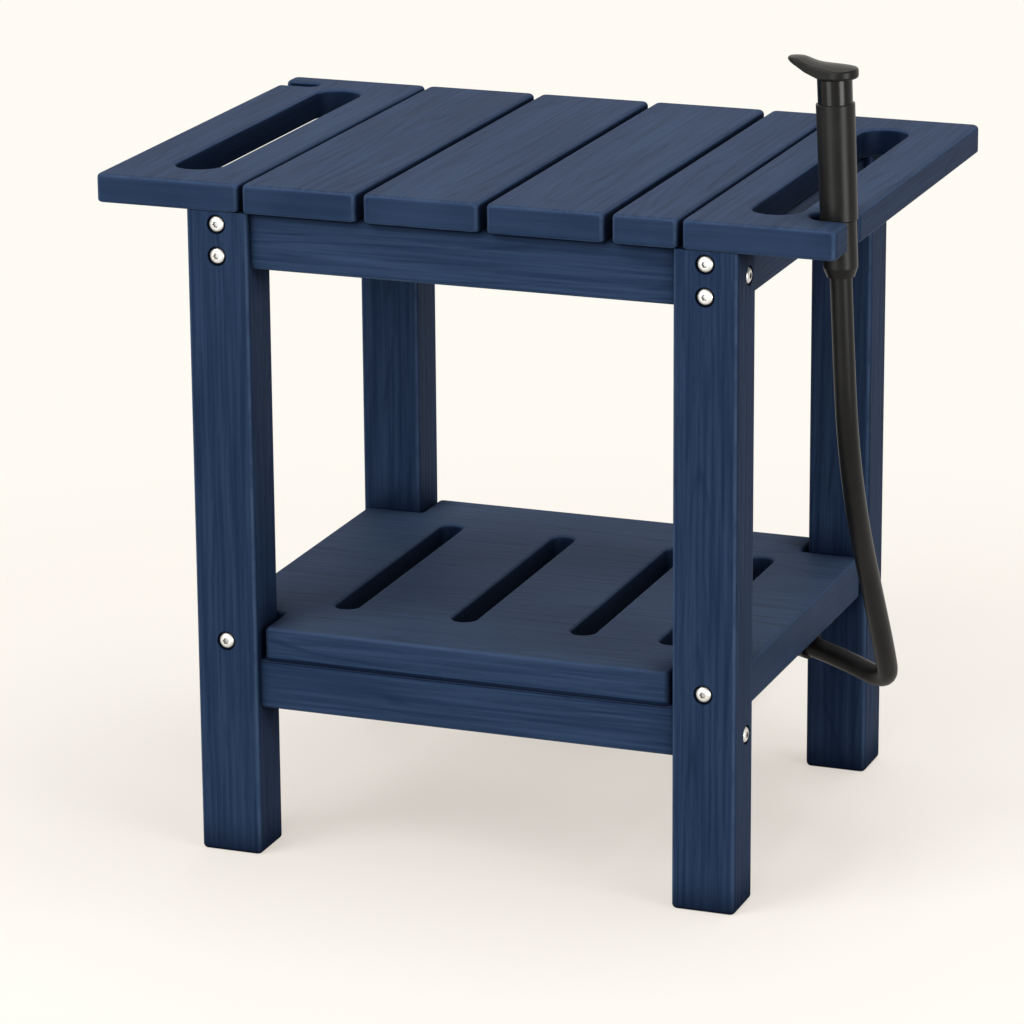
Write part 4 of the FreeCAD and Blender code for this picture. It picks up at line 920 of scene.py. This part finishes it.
    def dress(self, patterns: Patterns) -> None:
        """Build the hose and its tie, dress them and the end nut, fix the tie to the table and hide the
        model's own hose pieces.

        Args:
            patterns: The shared effects.
        """
        hose, path = self.build_hose()
        tie = self.build_tie()
        for piece, finish, slot in ((hose, self.black, "hose_black"), (tie, self.strap, "tie_rubber")):
            piece.data.materials.append(finish.make(patterns))
            log.info("%s wears %s", piece.name, finish.name)
        dress(self.chrome.make(patterns), "hose_end_nut")
        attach(tie, "table")
        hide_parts("hose_tie")
        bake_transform(hose)
        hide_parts("hose_drop", "hose_tail", "hose_coil")


@dataclass(frozen=True)
class Lamp:
    """A soft lamp: its place, its power in watts, its width and height, and what it lights."""

    name: str
    place: Point
    power: float
    size: Pair
    gloss: bool = True
    spread: bool = True

    def hang(self, target: Vector) -> None:
        """Hang the lamp so that it faces a point.

        Args:
            target: The point.
        """
        data = bpy.data.lights.new(self.name, "AREA")
        data.shape = "RECTANGLE"
        data.energy = self.power
        data.size, data.size_y = self.size
        lamp = bpy.data.objects.new(self.name, data)
        bpy.context.collection.objects.link(lamp)
        lamp.location = self.place
        lamp.rotation_euler = (target - Vector(self.place)).to_track_quat("-Z", "Y").to_euler()
        lamp.visible_camera = False
        lamp.visible_glossy = self.gloss
        lamp.visible_diffuse = self.spread


@dataclass
class Studio:
    """The pale floor, the soft light and the camera."""

    focal_length: float = 172.2656
    sensor: float = 36.0
    far_sight: float = 200.0
    azimuth: float = math.radians(20.8235985)
    elevation: float = math.radians(16.68676567)
    roll: float = math.radians(-0.42028436)
    distance: float = 3.29539664
    target: Point = (0.0, 0.0, 0.2285)
    slide: Pair = (-0.02399744, -0.02082518)
    floor_size: float = 60.0
    backdrop: Colour = (1.0, 0.968, 0.905)
    floor_pale: Colour = (0.94, 0.925, 0.88)
    floor_bounce: Colour = (0.42, 0.40, 0.37)
    floor_warm: Colour = (1.0, 0.925, 0.845)
    floor_glow: float = 0.55
    floor_reach: Pair = (0.45, 1.00)
    sky: float = 0.34
    sky_tint: Colour = (0.96, 0.98, 1.0)
    lamps: tuple[Lamp, ...] = (
        Lamp("key light", (-1.5, -2.2, 2.5), 52.0, (1.8, 1.8)),
        Lamp("front light", (0.2, -3.0, 1.0), 25.0, (1.0, 1.0)),
        Lamp("fill light", (2.6, -1.2, 1.3), 22.0, (1.2, 1.2), gloss=False),
        Lamp("top light", (0.5, 0.3, 2.8), 31.0, (1.4, 1.4)),
        Lamp("back light", (-0.8, 2.6, 1.6), 10.0, (1.6, 1.6), gloss=False),
        Lamp("left strip", (-0.35, -1.50, 0.32), 6.5, (0.7, 0.6), spread=False),
        Lamp("right strip", (1.56, -0.83, 0.32), 14.0, (0.7, 0.6), spread=False))

    def build(self) -> None:
        """Set the floor, the light and the camera."""
        self._camera()
        self._floor()
        self._world()
        for lamp in self.lamps:
            lamp.hang(Vector(self.target))
        bpy.context.scene.view_settings.view_transform = "Standard"

    def _camera(self) -> None:
        """Stand the camera where the photograph was taken."""
        data = bpy.data.cameras.new("camera")
        data.sensor_width, data.lens = self.sensor, self.focal_length
        data.clip_end = self.far_sight
        camera = bpy.data.objects.new("camera", data)
        bpy.context.collection.objects.link(camera)
        flat, lift = math.cos(self.elevation), math.sin(self.elevation)
        back = Vector((math.sin(self.azimuth) * flat, -math.cos(self.azimuth) * flat, lift))
        right = (-back).cross(Vector((0.0, 0.0, 1.0))).normalized()
        rise = right.cross(-back)
        level, tip = math.cos(self.roll), math.sin(self.roll)
        side, top = right * level + rise * tip, rise * level - right * tip
        eye = Vector(self.target) + back * self.distance + side * self.slide[0] + top * self.slide[1]
        camera.matrix_world = Matrix((side, top, back)).transposed().to_4x4()
        camera.matrix_world.translation = eye
        bpy.context.scene.camera = camera

    @staticmethod
    def _seen(graph: Graph) -> Socket:
        """Say 1 for what the camera sees, directly, in a reflection or through glass.

        Args:
            graph: The graph that asks.

        Returns:
            1 for such a ray, and otherwise 0.
        """
        path = graph.put("ShaderNodeLightPath").outputs
        seen = graph.math("MAXIMUM", path["Is Camera Ray"], path["Is Glossy Ray"])
        return graph.math("MAXIMUM", seen, path["Is Transmission Ray"])

    def _floor(self) -> None:
        """Lay a wide pale floor that keeps the shadow."""
        start_alone()
        bpy.ops.mesh.primitive_plane_add(size=self.floor_size)
        floor = bpy.context.object
        floor.name = "floor"
        material = bpy.data.materials.new("pale floor")
        material.use_nodes = True
        graph = Graph(material.node_tree)
        material.node_tree.nodes.clear()
        seen = self._seen(graph)
        pale = graph.mix(seen, self.floor_bounce, self.floor_pale)
        matt = graph.put("ShaderNodeBsdfDiffuse", {"Color": pale})
        place = graph.put("ShaderNodeTexCoord").outputs["Object"]
        away = graph.put("ShaderNodeVectorMath", {0: place}, operation="LENGTH").outputs["Value"]
        far = graph.step(away, *self.floor_reach)
        glow = graph.put("ShaderNodeEmission", {"Color": graph.mix(far, self.floor_warm, self.backdrop),
                                                "Strength": 1.0})
        share = graph.times(seen, graph.span(far, self.floor_glow, 1.0))
        both = graph.put("ShaderNodeMixShader", {0: share, 1: matt.outputs[0], 2: glow.outputs[0]})
        graph.put("ShaderNodeOutputMaterial", {"Surface": both.outputs[0]})
        floor.data.materials.append(material)

    def _world(self) -> None:
        """A white room to look at, and an even soft light from it."""
        world = bpy.data.worlds.new("white room")
        world.use_nodes = True
        world.node_tree.nodes.clear()
        graph = Graph(world.node_tree)
        white = graph.put("ShaderNodeBackground", {"Color": (*self.backdrop, 1.0), "Strength": 1.0})
        light = graph.put("ShaderNodeBackground", {"Color": (*self.sky_tint, 1.0), "Strength": self.sky})
        both = graph.put("ShaderNodeMixShader", {0: self._seen(graph), 1: light.outputs[0],
                                                 2: white.outputs[0]})
        graph.put("ShaderNodeOutputWorld", {"Surface": both.outputs[0]})
        bpy.context.scene.world = world


def main() -> None:
    """Build the scene in order."""
    patterns = Patterns()
    Studio().build()
    Hose().dress(patterns)
    Boards().dress(patterns)
    Fasteners().dress(patterns)
    Sprayer().dress(patterns)


if __name__ == "__main__":
    main()
